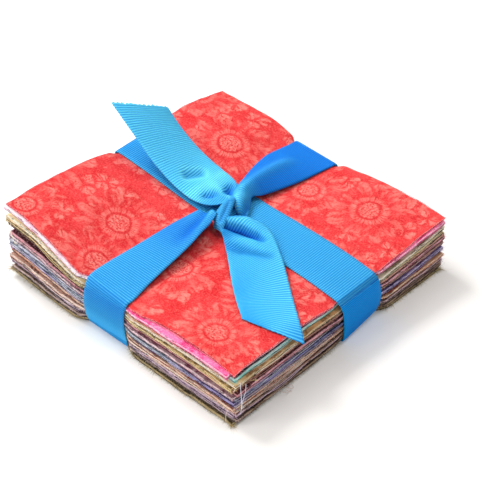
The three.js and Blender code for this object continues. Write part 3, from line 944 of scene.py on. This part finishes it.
def along_rim(rim, share):
    """The place, the thickness and the direction at a share of one side of a square."""
    at = share * (len(rim) - 1)
    k = min(int(at), len(rim) - 2)
    (one, thick), (other, next_thick) = rim[k], rim[k + 1]
    return one.lerp(other, at - k), thick + (next_thick - thick) * (at - k), (other - one).normalized()


def under_ribbon(place, room=1.5):
    """Whether a rim's place lies behind the ribbon or so near it in mm, where no yarn stands out."""
    x, y, z = place / MM
    if abs(y) > abs(x):
        side, across = "back" if y > 0 else "front", x
    else:
        side, across = "right" if x > 0 else "left", y
    _, start, end, _, _ = ribbon_at(side, z)
    return start - room < across < end + room


behind = sum(under_ribbon(place) for rim in rims[SQUARES] for place, _ in rim)
print("places on the top rim behind the ribbon:", behind)

# %% Teeth of a frayed edge
TOOTH_PITCH = 0.7 * MM
ROOT_WIDTH = (0.12 * MM, 0.36 * MM)
TOOTH_LENGTH = (0.2 * MM, 1.0 * MM)
FUZZ_PITCH = 0.15 * MM  # the lowest square's finest ends lie on the table
FUZZ_WIDTH = (0.08 * MM, 0.2 * MM)
FUZZ_LENGTH = (0.4 * MM, 2.5 * MM)
HIDDEN_LENGTH = 0.05 * MM  # behind the ribbon
ROOT_DEPTH = 0.25 * MM  # how far a tooth starts inside the cloth
LOWEST = 0.05 * MM  # above the table
CORNER_FRAY = 3 * MM  # the ends are longer this close to a corner


def rim_teeth(mesh, tint, rim, pitch, widths, lengths, tints=(0.0, 1.0)):
    """Short yarn ends along one side, as flat slats, each with its own tint."""
    run = sum((b[0] - a[0]).length for a, b in zip(rim, rim[1:]))
    teeth = int(run / pitch)
    columns = 2 * teeth - 1
    spots = grid(mesh, columns, 2)
    spare = [f for f in {f for v in spots.values() for f in v.link_faces}
             if round((f.calc_center_median().x + 1) / 2 * columns - 0.5) % 2]
    bmesh.ops.delete(mesh, geom=spare, context="FACES_ONLY")
    for tooth in range(teeth):
        share = within((tooth + random.uniform(0.1, 0.9)) / teeth)
        place, thick, way = along_rim(rim, share)
        out = Vector((way.y, -way.x, 0)).normalized()
        corner = max(0.0, 1 - min(share, 1 - share) * run / CORNER_FRAY)
        length = random.uniform(*lengths) * random.uniform(0.3, 1) * (1 + 1.2 * corner)
        if under_ribbon(place):
            length = HIDDEN_LENGTH
        width = random.uniform(*widths)
        lean, droop = random.uniform(-0.8, 0.8), random.uniform(-0.8, 0.35)
        lean += math.copysign(0.8 * corner, share - 0.5)
        tilt = random.uniform(-0.5, 0.5)
        level = place - Vector((0, 0, thick * random.uniform(0.05, 0.95)))
        shade = random.uniform(*tints)
        for column in (0, 1):
            for row in range(3):
                reach = row / 2
                half = width * (0.5 - 0.4 * reach) * (2 * column - 1)
                spot = spots[2 * tooth + column, row]
                spot[tint] = shade
                spot.co = (
                    level + out * (length * reach - ROOT_DEPTH * (1 - reach))
                    + way * (half + lean * length * reach * reach)
                    + Vector((0, 0, droop * length * reach * reach + tilt * half))
                )
                spot.co.z = max(spot.co.z, LOWEST)


print("teeth along one side:", int(SIDE / TOOTH_PITCH))

# %% Loose yarns
YARN_STEPS = 10
YARN_RADIUS = (0.05, 0.1)  # mm


def loose_yarn(mesh, tint, places, shade, thick):
    """A thin yarn through the places: a small ring of edges, pushed on from place to place."""
    ring = bmesh.ops.create_circle(mesh, segments=4, radius=thick)["verts"]
    start, ahead = places[0], (places[1] - places[0]).normalized()
    spin = ahead.to_track_quat("Z", "Y").to_matrix()
    bmesh.ops.rotate(mesh, verts=ring, cent=(0, 0, 0), matrix=spin)
    bmesh.ops.translate(mesh, verts=ring, vec=start)
    edges = list({e for v in ring for e in v.link_edges})
    moved = ring
    for one, other in zip(places, places[1:]):
        for v in moved:
            v[tint] = shade
        pushed = bmesh.ops.extrude_edge_only(mesh, edges=edges)["geom"]
        moved = [g for g in pushed if isinstance(g, bmesh.types.BMVert)]
        edges = [g for g in pushed if isinstance(g, bmesh.types.BMEdge)]
        bmesh.ops.translate(mesh, verts=moved, vec=other - one)
    for v in moved:
        v[tint] = shade


def yarn_along(mesh, tint, rim):
    """An outermost yarn that has come off the rim and lies loosely along it."""
    start, run = random.uniform(0.0, 0.85), random.uniform(0.06, 0.28)
    sway, level = random.uniform(0.1, 0.6) * MM, random.uniform(-0.1, 1.0)
    places = []
    for k in range(YARN_STEPS + 1):
        place, thick, way = along_rim(rim, min(start + run * k / YARN_STEPS, 1.0))
        if under_ribbon(place, 2.5):
            return
        out = Vector((way.y, -way.x, 0)).normalized()
        arch = math.sin(math.pi * k / YARN_STEPS) * sway + 0.12 * MM
        places.append(place + out * arch - Vector((0, 0, level * thick + random.uniform(-0.12, 0.12) * MM)))
    loose_yarn(mesh, tint, places, random.choice((0.0, 0.8, 1.0)), random.uniform(*YARN_RADIUS) * MM)


print("a loose yarn's places:", YARN_STEPS + 1)

# %% Fraying every square
YARNS_A_SIDE, YARNS_ON_TOP = 10, 2
HANGING_RADIUS = 0.12 * MM
# Number of the square to the places, in mm, of its long ends that hang at a corner or curl at a side.
HANGING = {
    9: (
        ((64.6, -61.6, 22.4), (65.3, -61.9, 19.5), (65.6, -61.8, 14.5),
         (65.4, -61.2, 10.0), (65.2, -61.8, 6.5)),
        ((65.4, -59.2, 20.5), (65.7, -59.6, 17.0), (65.5, -61.2, 12.5), (65.5, -61.8, 9.4)),
    ),
    14: (
        ((-60.5, -64.4, 30.5), (-59.6, -65.4, 27.0), (-58.0, -65.7, 23.2),
         (-56.6, -65.5, 22.0), (-56.2, -65.0, 24.5)),
        ((-62.6, -64.4, 31.5), (-61.0, -65.2, 27.5), (-57.6, -65.4, 21.4)),
    ),
    5: (((60.6, -63.9, 7.0), (60.4, -64.8, 4.4), (60.6, -65.0, 1.6)),),
    13: (
        ((63.2, -54.6, 17.6), (64.6, -53.8, 18.3), (65.2, -52.8, 18.0), (64.9, -52.0, 17.2),
         (64.3, -52.2, 16.7), (64.6, -53.2, 16.8), (65.1, -53.6, 17.6), (64.5, -52.8, 18.2)),
    ),
    2: (
        ((64.4, -39.6, 2.6), (65.9, -38.4, 1.6), (66.8, -36.6, 0.8), (66.7, -34.9, 0.4), (65.7, -34.2, 0.8),
         (65.0, -35.4, 1.6), (65.8, -36.8, 1.9), (66.9, -36.2, 1.2), (67.2, -34.6, 0.4)),
        ((64.4, -36.6, 2.4), (65.6, -35.2, 1.8), (66.6, -34.0, 0.9), (66.2, -32.6, 0.4), (65.2, -32.4, 0.9),
         (65.0, -34.0, 1.4), (66.0, -35.6, 1.2), (67.0, -37.2, 0.4)),
    ),
}
random.seed(11)
frays = {}
for number in cloths:
    mesh = bmesh.new()
    tint = mesh.verts.layers.float.new("tint")
    for rim in rims[number]:
        rim_teeth(mesh, tint, rim, TOOTH_PITCH, ROOT_WIDTH, TOOTH_LENGTH)
        if number == 1:
            rim_teeth(mesh, tint, rim, FUZZ_PITCH, FUZZ_WIDTH, FUZZ_LENGTH, (0.6, 1.0))
        for _ in range(YARNS_A_SIDE if number < SQUARES else YARNS_ON_TOP):
            yarn_along(mesh, tint, rim)
    for places in HANGING.get(number, ()):
        loose_yarn(mesh, tint, [point(*place) for place in places], 1.0, HANGING_RADIUS)
    frays[number] = built(mesh, f"fray_{number:02d}")
print("faces in frayed edges:", sum(len(f.data.polygons) for f in frays.values()))

# %% Colour of the frayed yarns


def fray(number, ground, figure, yarn):
    """Each loose yarn has its own tint, from the print's figure through its ground to bare yarn."""
    finish = Nodes(bpy.data.materials.new(f"fray_{number:02d}"))
    tint = finish.value("Attribute", "Fac", {"attribute_name": "tint"})
    ends = finish.mix(finish.ramp(tint, 0.1, 0.35), colour(figure), colour(ground))
    ends = finish.mix(finish.ramp(tint, 0.5, 0.9), ends, colour(yarn))
    return finish.end(finish.value(
        "BsdfPrincipled", Base_Color=ends, Roughness=0.95, Specular_IOR_Level=0.15, Sheen_Weight=0.15
    ))


TOP_YARNS = ((222, 80, 94), (196, 44, 66), (250, 176, 184))
for number, colours in (*PRINTS.items(), (SQUARES, TOP_YARNS)):
    frays[number].data.materials.append(fray(number, *colours))
print("frayed edges coloured:", len(frays))

# %% [markdown]
# ## Ribbon
# Grosgrain is a stiff ribbon with a heavy rib across it about every millimetre. A curve with a
# flat bevel would make a ribbon quickly, but its two edges can't go their own ways where it
# pinches. So the ribbon is made as strips: each is a grid whose rows are laid through a short
# table of sections, each section giving the places of the ribbon's two edges and how far its
# middle bows up. The rows are spaced along the strip's true length, four to a rib, so that the
# ribs are real relief and catch the light where the ribbon bends.

# %% Rows along a strip
RIBBON_WIDTH = 2 * HALF_WIDTH * MM
RIB = 1.0 * MM
ROWS_PER_RIB = 4
FINE = 48  # steps from one section to the next, to measure by


def even_places(rows, step):
    """Places along the rows that lie a step apart on the strip's middle, and the whole length."""
    places = [k / FINE for k in range((len(rows) - 1) * FINE + 1)]
    middles = []
    for place in places:
        ax, ay, az, bx, by, bz, bow = between(rows, place)
        middles.append(point((ax + bx) / 2, (ay + by) / 2, (az + bz) / 2 + bow))
    run = [0.0]
    for one, other in zip(middles, middles[1:]):
        run.append(run[-1] + (other - one).length)
    count = max(2, round(run[-1] / step))
    found, k = [], 0
    for n in range(count + 1):
        target = run[-1] * n / count
        while k < len(run) - 2 and run[k + 1] < target:
            k += 1
        share = (target - run[k]) / max(run[k + 1] - run[k], 1e-9)
        found.append(places[k] + (places[k + 1] - places[k]) * min(share, 1))
    return found, run[-1]


print("rows lie", RIB / ROWS_PER_RIB / MM, "mm apart")

# %% Creases


def relief(creases, x, y):
    """Height in mm that the creases add at a place in plan. A crease is a line of places, each with
    its height and half its width: a ridge where the height is above nothing, a valley below it."""
    total = 0.0
    for crease in creases:
        best = None
        for (x0, y0, h0, w0), (x1, y1, h1, w1) in zip(crease, crease[1:]):
            dx, dy = x1 - x0, y1 - y0
            t = within(((x - x0) * dx + (y - y0) * dy) / max(dx * dx + dy * dy, 1e-9))
            off = math.hypot(x - x0 - dx * t, y - y0 - dy * t)
            found = (off / (w0 + (w1 - w0) * t), h0 + (h1 - h0) * t)
            if best is None or found[0] < best[0]:
                best = found
        total += best[1] * math.exp(-best[0] ** 2)
    return total


print("a ridge 1 mm high, half its width beside it:", round(relief([[(0, 0, 1, 2), (9, 0, 1, 2)]], 4, 2), 2))

# %% Ribbon strips
RIBBON_THICK = 0.42 * MM
RIB_DEPTH = 0.16 * MM
CREASE_SHADING = 0.4  # change of painted level for each mm of a crease: painted shade in its valleys, painted light on its ridges
PLAIN_TONE = 0.3
ABOVE_STACK = 15  # mm: the strips' parts on the top square lie higher, their feet and undersides lower


def ribbon_strip(name, rows, cells, creases=(), painted_light_and_shade=None, ragged=0.0, crease_shading=CREASE_SHADING):
    """A strip of ribbon through the rows, with creases in it. The function of x, y and z that it is given
    paints light and shade along it, and the creases add painted light on their ridges and painted shade in
    their valleys."""
    places, length = even_places(rows, RIB / ROWS_PER_RIB)
    steps = len(places) - 1
    mesh = bmesh.new()
    shade = mesh.verts.layers.float.new("painted_light_and_shade")
    uv = mesh.loops.layers.uv.new("ribbon")
    spots = grid(mesh, cells, steps)
    for (i, j), v in spots.items():
        q = i / cells
        ax, ay, az, bx, by, bz, bow = between(rows, places[j])
        v.co = point(ax, ay, az).lerp(point(bx, by, bz), q)
        v.co.z += bow * MM * 4 * q * (1 - q)
        x, y, z = v.co / MM
        raised_by = relief(creases, x, y) if z > ABOVE_STACK else 0.0
        v.co.z += raised_by * MM
        # Painted light and shade, with painted shade in crease valleys and painted light on their ridges.
        plain = painted_light_and_shade(x, y, z) if painted_light_and_shade else PLAIN_TONE
        v[shade] = within(plain + crease_shading * raised_by, -1.0, max(1.0, plain))
        for loop in v.link_loops:
            loop[uv].uv = (q * RIBBON_WIDTH, length * j / steps)
    mesh.normal_update()
    for (i, j), v in spots.items():
        full = 1 - abs(2 * i / cells - 1) ** 12 * 0.6  # the ribs grow flatter at the ribbon's edges
        v.co += v.normal * RIB_DEPTH * full * math.cos(math.tau * j / ROWS_PER_RIB)
    if ragged:
        for i in range(cells + 1):
            last, before = spots[i, steps].co, spots[i, steps - 3].co
            last += (last - before).normalized() * ragged * (i % 2 + random.uniform(-0.4, 0.4))
    obj = built(mesh, name, smooth=True)
    body = obj.modifiers.new("body", "SOLIDIFY")
    body.thickness = RIBBON_THICK
    body.offset = 0
    print(name, "length mm:", round(1000 * length, 1), "faces:", len(obj.data.polygons))
    return obj, length


# %% [markdown]
# ## The strands round the stack
# One strand runs from front to back and one from left to right. Each lies on the top cloth, turns
# over the upper edges, hangs down the sides along the way that is settled above, and crosses the
# other one flat below the stack. The one from left to right lies under the knot. The other is
# tied: its two ends rise to the knot, and pinch and twist on their way.

# %% Down the sides and under the stack
top_cloth = surface(cloths[SQUARES])
LAY = 0.5  # mm from the top cloth to the middle of the ribbon's thickness
INSIDE = 63.0  # mm from the middle to the last place where the cloth's height is asked for
TURN_OVER = ((1.7, -0.05), (0.75, 0.15), (0.15, 0.75))  # mm inwards and down, over the upper edge
TURN_UNDER = ((0.05, 0.9), (0.7, 0.2), (1.8, 0.0))  # mm inwards and up, under the lowest cloth
HANGS_AT = (0.1, 0.19, 0.3, 0.43, 0.56, 0.69, 0.81, 0.92)  # shares of the way down
EDGE_AT = 60.5  # mm from the middle, where the height of the upper edge is taken
FOOT = 0.9  # mm above the underside where the run down the side ends
UNDER_FRONT_BACK = 0.3
UNDER_LEFT_RIGHT = 0.85
UNDER_PLACES = (55, 45, 20, -20, -45, -55)
OUTWARDS = {"front": (0, -1), "right": (1, 0), "back": (0, 1), "left": (-1, 0)}


def on_side(side, out, across):
    """x and y of a place so far out on a side, and so far along it."""
    x, y = OUTWARDS[side]
    return (x * out, across) if x else (across, y * out)


def on_cloth(x, y, lift=0.0):
    """Height in mm of a ribbon that lies on the top cloth."""
    x, y = (within(v, -INSIDE, INSIDE) for v in (x, y))
    return 1000 * height(top_cloth, x * MM, y * MM) + LAY + lift


def side_rows(side, edges, under):
    """The turn over an upper edge, the run down the side and the turn under. edges are the places
    of the ribbon's two edges along the side."""
    tops = [on_cloth(*on_side(side, EDGE_AT, edge)) for edge in edges]
    rows = []

    def add(down, inward, *heights):
        first, second, move, other_move = down_side(side, down)
        ax, ay = on_side(side, SIDE_REACH - first - inward, edges[0] + move)
        bx, by = on_side(side, SIDE_REACH - second - inward, edges[1] + other_move)
        rows.append((ax, ay, heights[0], bx, by, heights[-1], 0.0))

    for inward, drop in TURN_OVER:
        add(0.0, inward, *(top - drop for top in tops))
    for down in HANGS_AT:
        add(down, 0.0, *(under + FOOT + (top - under - FOOT) * (1 - down) for top in tops))
    for inward, up in TURN_UNDER:
        add(1.0, inward, under + up)
    return rows


def under_rows(side, other_side, edges, level):
    """The run under the stack, from the foot of one side to the foot of the other. Both feet have
    moved along their sides."""
    start, end = (SIDES[name][-1][3:] for name in (side, other_side))
    rows = []
    for place in UNDER_PLACES:
        share = (1 - place / UNDER_PLACES[0]) / 2
        moves = [one + (other - one) * share for one, other in zip(start, end)]
        (ax, ay), (bx, by) = (on_side(side, place, edge + move) for edge, move in zip(edges, moves))
        rows.append((ax, ay, level, bx, by, level, 0.0))
    return rows


print("the ribbon lies on the cloth's middle at", round(on_cloth(0, 0), 1), "mm")

# %% Sections of the strands
# Sections of the front-to-back strand on the top cloth, from the front to the knot, and from the
# back to the knot: y, the two edges' x, how far each edge is raised off the cloth, and the bow.
TO_KNOT_FRONT = (
    (-58, -17.4, 5.4, 0.0, 0.1, 0.0), (-50, -16.7, 4.4, 0.1, 1.0, 0.2), (-38.5, -15.6, 3.8, 0.2, 2.6, 0.4),
    (-25, -14.5, 3.1, 0.4, 4.1, 0.3), (-17, -13.8, 2.0, 0.7, 5.2, 0.2), (-11, -13.0, 0.9, 1.0, 5.8, 0.2),
    (-5, -11.8, -1.2, 1.8, 6.2, 0.3),
)
TO_KNOT_BACK = (
    (58, -17.4, 5.4, 0.0, 0.0, 0.0), (50, -16.6, 5.0, 1.0, 0.2, 0.8), (40, -15.4, 4.2, 2.8, 0.5, 1.6),
    (29, -12.8, 2.4, 4.0, 1.2, 2.2), (21, -10.4, 0.8, 4.4, 2.0, 2.6),
)
# The back strand rolls into a lump beside the knot and dives under it.
LUMP = (
    (-8.2, 13.0, 32.0, -0.7, 15.4, 31.0, 2.6), (-4.2, 7.5, 31.5, 1.9, 11.4, 30.5, 2.6),
    (0.0, 4.9, 30.0, 4.3, 7.6, 29.8, 1.6), (3.1, 4.6, 28.8, 5.1, 5.5, 28.8, 0.5),
)
FRONT_BACK_CREASES = (
    ((-4.2, -4.2, 1.2, 1.7), (-1.2, -12.8, 1.1, 1.9), (0.9, -21.1, 0.8, 2.3), (2.2, -33.0, 0.0, 2.6)),
    ((-8.0, -3.2, -1.4, 2.0), (-5.9, -10.9, -1.4, 2.2), (-3.7, -20.2, -0.9, 2.8), (-2.3, -30.0, 0.0, 3.0)),
    ((-5.2, 15.0, 0.9, 2.2), (-5.7, 21.0, 1.1, 2.4), (-6.2, 31.0, 1.3, 2.4),
     (-6.5, 42.0, 1.2, 2.6), (-7.0, 51.0, 0.0, 3.0)),
    ((1.0, 12.4, -1.0, 1.4), (2.4, 9.0, -1.8, 1.4), (3.8, 5.6, -1.4, 1.3)),
    ((-3.6, 9.2, 0.9, 1.7), (-0.6, 5.8, 1.0, 1.5)),
)
FLAT_PLACES = (20, 30, 40, 50, 57)
ends_x = (FRONT_BACK_X - HALF_WIDTH, FRONT_BACK_X + HALF_WIDTH)
ends_y = (LEFT_RIGHT_Y - HALF_WIDTH, LEFT_RIGHT_Y + HALF_WIDTH)


def raised(rows):
    """Sections that follow the top cloth, with their edges raised off it."""
    return [(a, y, on_cloth(a, y, la), b, y, on_cloth(b, y, lb), bow) for y, a, b, la, lb, bow in rows]


def flat_row(x):
    """A section of the left-to-right strand where it lies on the top cloth."""
    return (x, ends_y[0], on_cloth(x, ends_y[0]), x, ends_y[1], on_cloth(x, ends_y[1]), 0.0)


front_back_rows = [
    *raised(TO_KNOT_FRONT)[::-1],
    *side_rows("front", ends_x, UNDER_FRONT_BACK),
    *under_rows("front", "back", ends_x, UNDER_FRONT_BACK),
    *side_rows("back", ends_x, UNDER_FRONT_BACK)[::-1],
    *raised(TO_KNOT_BACK),
    *LUMP,
]
left_right_rows = [
    *(flat_row(x) for x in (-6, 6, *FLAT_PLACES)),
    *side_rows("right", ends_y, UNDER_LEFT_RIGHT),
    *under_rows("right", "left", ends_y, UNDER_LEFT_RIGHT),
    *side_rows("left", ends_y, UNDER_LEFT_RIGHT)[::-1],
    *(flat_row(-x) for x in (*FLAT_PLACES[::-1], 12, 6)),
]
print("sections of the strands:", len(front_back_rows), "and", len(left_right_rows))

# %% Painted light and shade, and the two strands
BEND_STARTS, BEND_ENDS = 61.8, 63.6  # mm from the middle of the stack
BEND_FOOT = 20  # mm above the table: lower down the ribbon hangs
LINE_FOOT = 21.6  # where a line of painted shade just below the bend ends
FADE_TOP = 22  # from here down to the table the ribbon is painted lighter on the front and the back
LAID_TONE = 0.62
# Painted levels of the hanging sides: strong blue painted shade on the right, which is turned from the
# window, and a lighter level on the left.
RIGHT_SIDE_SHADE, LEFT_TONE = 1.5, 0.5


def down_front(z):
    """Painted shade down the front and the back just under the turn, and painted light towards the foot."""
    return 0.05 + max(0.0, 1 - z / FADE_TOP)


def turn_tone(out, z, laid, hanging):
    """Over an upper edge: the laid level, with a little painted shade on the bend, and then the hanging
    level. The side that hangs in strong blue has a line of painted shade just below the bend."""
    if out < BEND_STARTS:
        return laid
    if out < BEND_ENDS and z > BEND_FOOT:
        return laid - 0.25
    return -0.6 if z > LINE_FOOT and hanging > 1 else hanging


def front_back_tone(x, y, z):
    """Painted light and shade: down the sides lighter towards the feet. On top, deep on the back strand
    away from the knot, and deeper in the middle of the front one."""
    if abs(y) > BEND_STARTS or z < ABOVE_STACK:
        return turn_tone(abs(y), z, 0.5, down_front(z))
    if y > 0:
        return 0.6 - 1.1 * within((y - 12) / 10)  # painted shade deepens from 12 to 22 mm behind the middle
    return 0.5 - 0.6 * math.exp(-((y + 19) / 13) ** 2)  # painted shade deepest 19 mm before the middle


def left_right_tone(x, y, z):
    """Painted light and shade: even on top and down each side, with strong blue painted shade on the right.
    """
    if abs(x) < BEND_STARTS and z > ABOVE_STACK:
        return LAID_TONE
    if x > 0:
        return turn_tone(x, z, LAID_TONE, RIGHT_SIDE_SHADE)
    return turn_tone(-x, z - STACK_TOPS["left"] + STACK_TOPS["right"], LAID_TONE, LEFT_TONE)


random.seed(5)
strand_front_back, front_back_length = ribbon_strip(
    "ribbon_front_back", front_back_rows, 20, FRONT_BACK_CREASES, front_back_tone
)
strand_left_right, left_right_length = ribbon_strip(
    "ribbon_left_right", left_right_rows, 12, (), left_right_tone
)

# %% [markdown]
# ## The free ends and the knot
# Both free ends are cut slantwise and keep the creases of their pull through the knot, and one
# stands up by the ribbon's own stiffness. The knot itself is one gathered fold that wraps the place
# where everything meets. A simulated knot would slip or swell, so these strips are made as the
# strands are, with more and deeper creases.

# %% The free ends and the knot
# Each row: one edge's x, y, z, the other edge's x, y, z, and the bow, in mm.
RAISED_TAIL = (
    (-2.5, 5.5, 33.6, -6.0, 12.5, 31.0, 0.3), (-5.0, 0.8, 33.2, -9.5, 16.0, 31.8, -0.4),
    (-10.0, -2.2, 31.8, -14.0, 18.0, 32.0, 0.2), (-18.0, -3.6, 31.6, -21.0, 19.2, 32.2, 0.4),
    (-29.0, -3.6, 34.0, -28.0, 19.4, 33.6, 0.3), (-40.5, -3.4, 39.6, -36.4, 19.0, 37.2, 0.4),
    (-51.5, -2.6, 46.6, -44.8, 18.2, 43.4, 0.4), (-65, -2.2, 56.0, -51.6, 17.5, 50.5, 0.2),
)
RAISED_CREASES = (
    ((-28.2, 5.2, -1.8, 2.6), (-25.6, 10.4, -1.6, 2.6)),
    ((-14.4, 2.6, -1.8, 1.9), (-12.6, 4.4, -2.0, 1.9)),
    ((-9.0, 10.0, -3.2, 1.8), (-10.5, 12.5, -2.2, 1.8)),
    ((-6.0, 7.0, 0.8, 1.2), (-16.0, 9.0, 0.6, 2.0), (-22.0, 10.0, 0.0, 2.4)),
)
LYING_TAIL = (
    (2.0, -6.8, 31.0, 3.2, -2.6, 32.2, 0.8), (5.3, -9.6, 30.8, 4.7, 2.3, 31.5, 0.6),
    (9.3, -12.1, 29.8, 11.5, 5.0, 30.6, 0.4), (18.2, -19.1, 29.0, 19.9, 4.6, 29.6, 0.2),
    (28.0, -27.3, 28.2, 32.6, -2.9, 28.4, 0.3), (36, -33.4, 27.7, 49, -15.4, 26.8, 0.4),
    (43.5, -38.4, 27.3, 64.5, -27.2, 26.4, 0.2), (44.5, -39.2, 27.3, 70.0, -31.6, 25.2, 0),
)
LYING_CREASES = (
    ((3.8, -3.2, 1.0, 1.5), (9.2, 1.9, 1.5, 2.4), (15.0, 3.2, 1.2, 2.6), (22.0, 2.6, 0.0, 2.6)),
    ((3.9, -6.8, -1.8, 1.2), (10.6, -3.4, -2.9, 1.7), (17.0, -1.2, -2.3, 1.9), (22.5, -0.6, 0.0, 2.2)),
    ((12.0, -8.4, 0.3, 1.6), (19.2, -4.4, 0.8, 2.0), (25.0, -2.6, 0.4, 1.8)),
    ((9.0, -14.5, -0.5, 2.0), (18.0, -11.5, -0.9, 2.2), (28.0, -5.8, -0.6, 2.2)),
)
WRAP = (
    (0.7, -8.9, 29.3, 5.2, -8.9, 29.3, 0.6), (-0.7, -7.4, 31.5, 4.9, -7.4, 31.5, 1.3),
    (-2.5, -4.4, 33.0, 2.7, -2.2, 33.0, 1.4), (-3.3, -0.6, 34.0, 0.3, 2.8, 34.0, 1.2),
    (-4.1, 3.2, 34.0, -1.9, 6.2, 34.0, 0.8), (-7.2, 8.3, 31.0, -6.0, 11.3, 31.0, 0.3),
)
WRAP_CREASES = (((2.4, -7.0, -0.7, 0.8), (0.4, -2.0, -0.8, 0.8), (-2.0, 3.0, -0.5, 0.8)),)


def raised_tone(x, y, z):
    """The standing tail is painted lighter from the knot to the left."""
    return within(-x / 20, 0.4, 1.15)


def lying_tone(x, y, z):
    """The lying tail is painted lightest in the middle of its length, and deeper at the knot and at its tip.
    """
    return min(0.92, 0.45 + max(0.0, x - 8) / 28, max(0.3, (78 - x) / 22))


raised_tail, raised_length = ribbon_strip(
    "ribbon_tail_raised", RAISED_TAIL, 26, RAISED_CREASES, raised_tone, ragged=0.7 * MM
)
lying_tail, lying_length = ribbon_strip(
    "ribbon_tail_lying", LYING_TAIL, 26, LYING_CREASES, lying_tone, ragged=0.3 * MM, crease_shading=0.62
)
wrap_fold, wrap_length = ribbon_strip("ribbon_knot_fold", WRAP, 18, WRAP_CREASES)

# %% [markdown]
# ## Grosgrain
# The ribs are relief already, and the finish adds a painted highlight on each rib's crest and
# painted shade in its valley, fine warp yarns along the ribbon, and the soft sheen of synthetic yarn.

# %% Grosgrain finish
# Levels of painted light and shade from the deepest to the lightest, and last the strong blue of
# painted shade on the right side, which is turned from the window.
PAINTED_LEVELS = (-1.0, -0.5, 0.5, 1.0, RIGHT_SIDE_SHADE)
# Colours of the painted crest highlights and of the painted valley shade, one for each level.
CREST_HIGHLIGHTS = ((4, 84, 186), (32, 142, 232), (88, 192, 229), (134, 244, 252), (4, 190, 250))
VALLEY_SHADES = ((0, 38, 112), (4, 90, 188), (16, 128, 205), (44, 166, 242), (0, 116, 222))
WARP = 0.45 * MM  # from one warp yarn to the next
WARP_DEPTH = 0.1 * MM


def shades(finish, share, colours):
    """The colours in turn, at their levels of painted light and shade."""
    ramp = finish.node("ValToRGB", Fac=share)
    stops = ramp.color_ramp.elements
    stops[-1].position = 1.0
    for painted_light_and_shade in PAINTED_LEVELS[1:-1]:
        stops.new((painted_light_and_shade - PAINTED_LEVELS[0]) / (PAINTED_LEVELS[-1] - PAINTED_LEVELS[0]))
    for stop, code in zip(stops, colours):
        stop.color = colour(code)
    return Value(finish, ramp.outputs["Color"])


def grosgrain():
    finish = Nodes(bpy.data.materials.new("grosgrain"))
    across, along, _ = finish.split(finish.value("UVMap", 0, {"uv_map": "ribbon"}))
    painted_light_and_shade = finish.value("Attribute", "Fac", {"attribute_name": "painted_light_and_shade"})
    lightness = (painted_light_and_shade - PAINTED_LEVELS[0]) / (PAINTED_LEVELS[-1] - PAINTED_LEVELS[0])
    # The painted highlight on each rib's crest, with fine warp lines.
    crest_highlight = finish.math("COSINE", along * (math.tau / RIB)) * 0.5 + 0.5
    warp = finish.math("SINE", across * (math.tau / WARP))
    share = crest_highlight * 0.8 + warp * 0.1
    base = finish.mix(share, shades(finish, lightness, VALLEY_SHADES), shades(finish, lightness, CREST_HIGHLIGHTS))
    bump = finish.value("Bump", Strength=0.25, Distance=WARP_DEPTH, Height=warp)
    return finish.end(finish.value(
        "BsdfPrincipled", Base_Color=base, Normal=bump, Roughness=0.5, Specular_IOR_Level=0.08,
        Subsurface_Weight=0.12, Subsurface_Radius=(0.3, 0.8, 1.0), Subsurface_Scale=1.0 * MM,
    ))


ribbon_finish = grosgrain()
print("grosgrain nodes:", len(ribbon_finish.node_tree.nodes))

# %% [markdown]
# ## Putting the pieces in the frame
# Every cloth, frayed edge and strip of ribbon rides on the one body of the pack, as cloth has no
# joints, and the solids they stand for are hidden.

# %% Attaching the squares
for number, obj in cloths.items():
    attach(obj, "root")
    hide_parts(f"square_{number:02d}")
    below = [f"cloth_{number - 1:02d}"] if number > 1 else ["table"]
    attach(frays[number], "root")
print("squares declared:", len(cloths))

# %% Finishing and attaching the ribbon
FOLD_WIDTH = 10 * MM
FOLD_SHARE = 0.6  # of its flat size, as the fold is narrow at both ends
strips = {
    strand_front_back: (front_back_length, "laid"), strand_left_right: (left_right_length, "laid"),
    raised_tail: (raised_length, "folded"), lying_tail: (lying_length, "folded"),
    wrap_fold: (wrap_length, "gathered"),
}
for obj, (length, held) in strips.items():
    obj.data.materials.append(ribbon_finish)
    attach(obj, "root")
    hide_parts("ribbon")
    if obj is wrap_fold:
        area = FOLD_SHARE * FOLD_WIDTH * length
print("strips of ribbon:", len(strips))
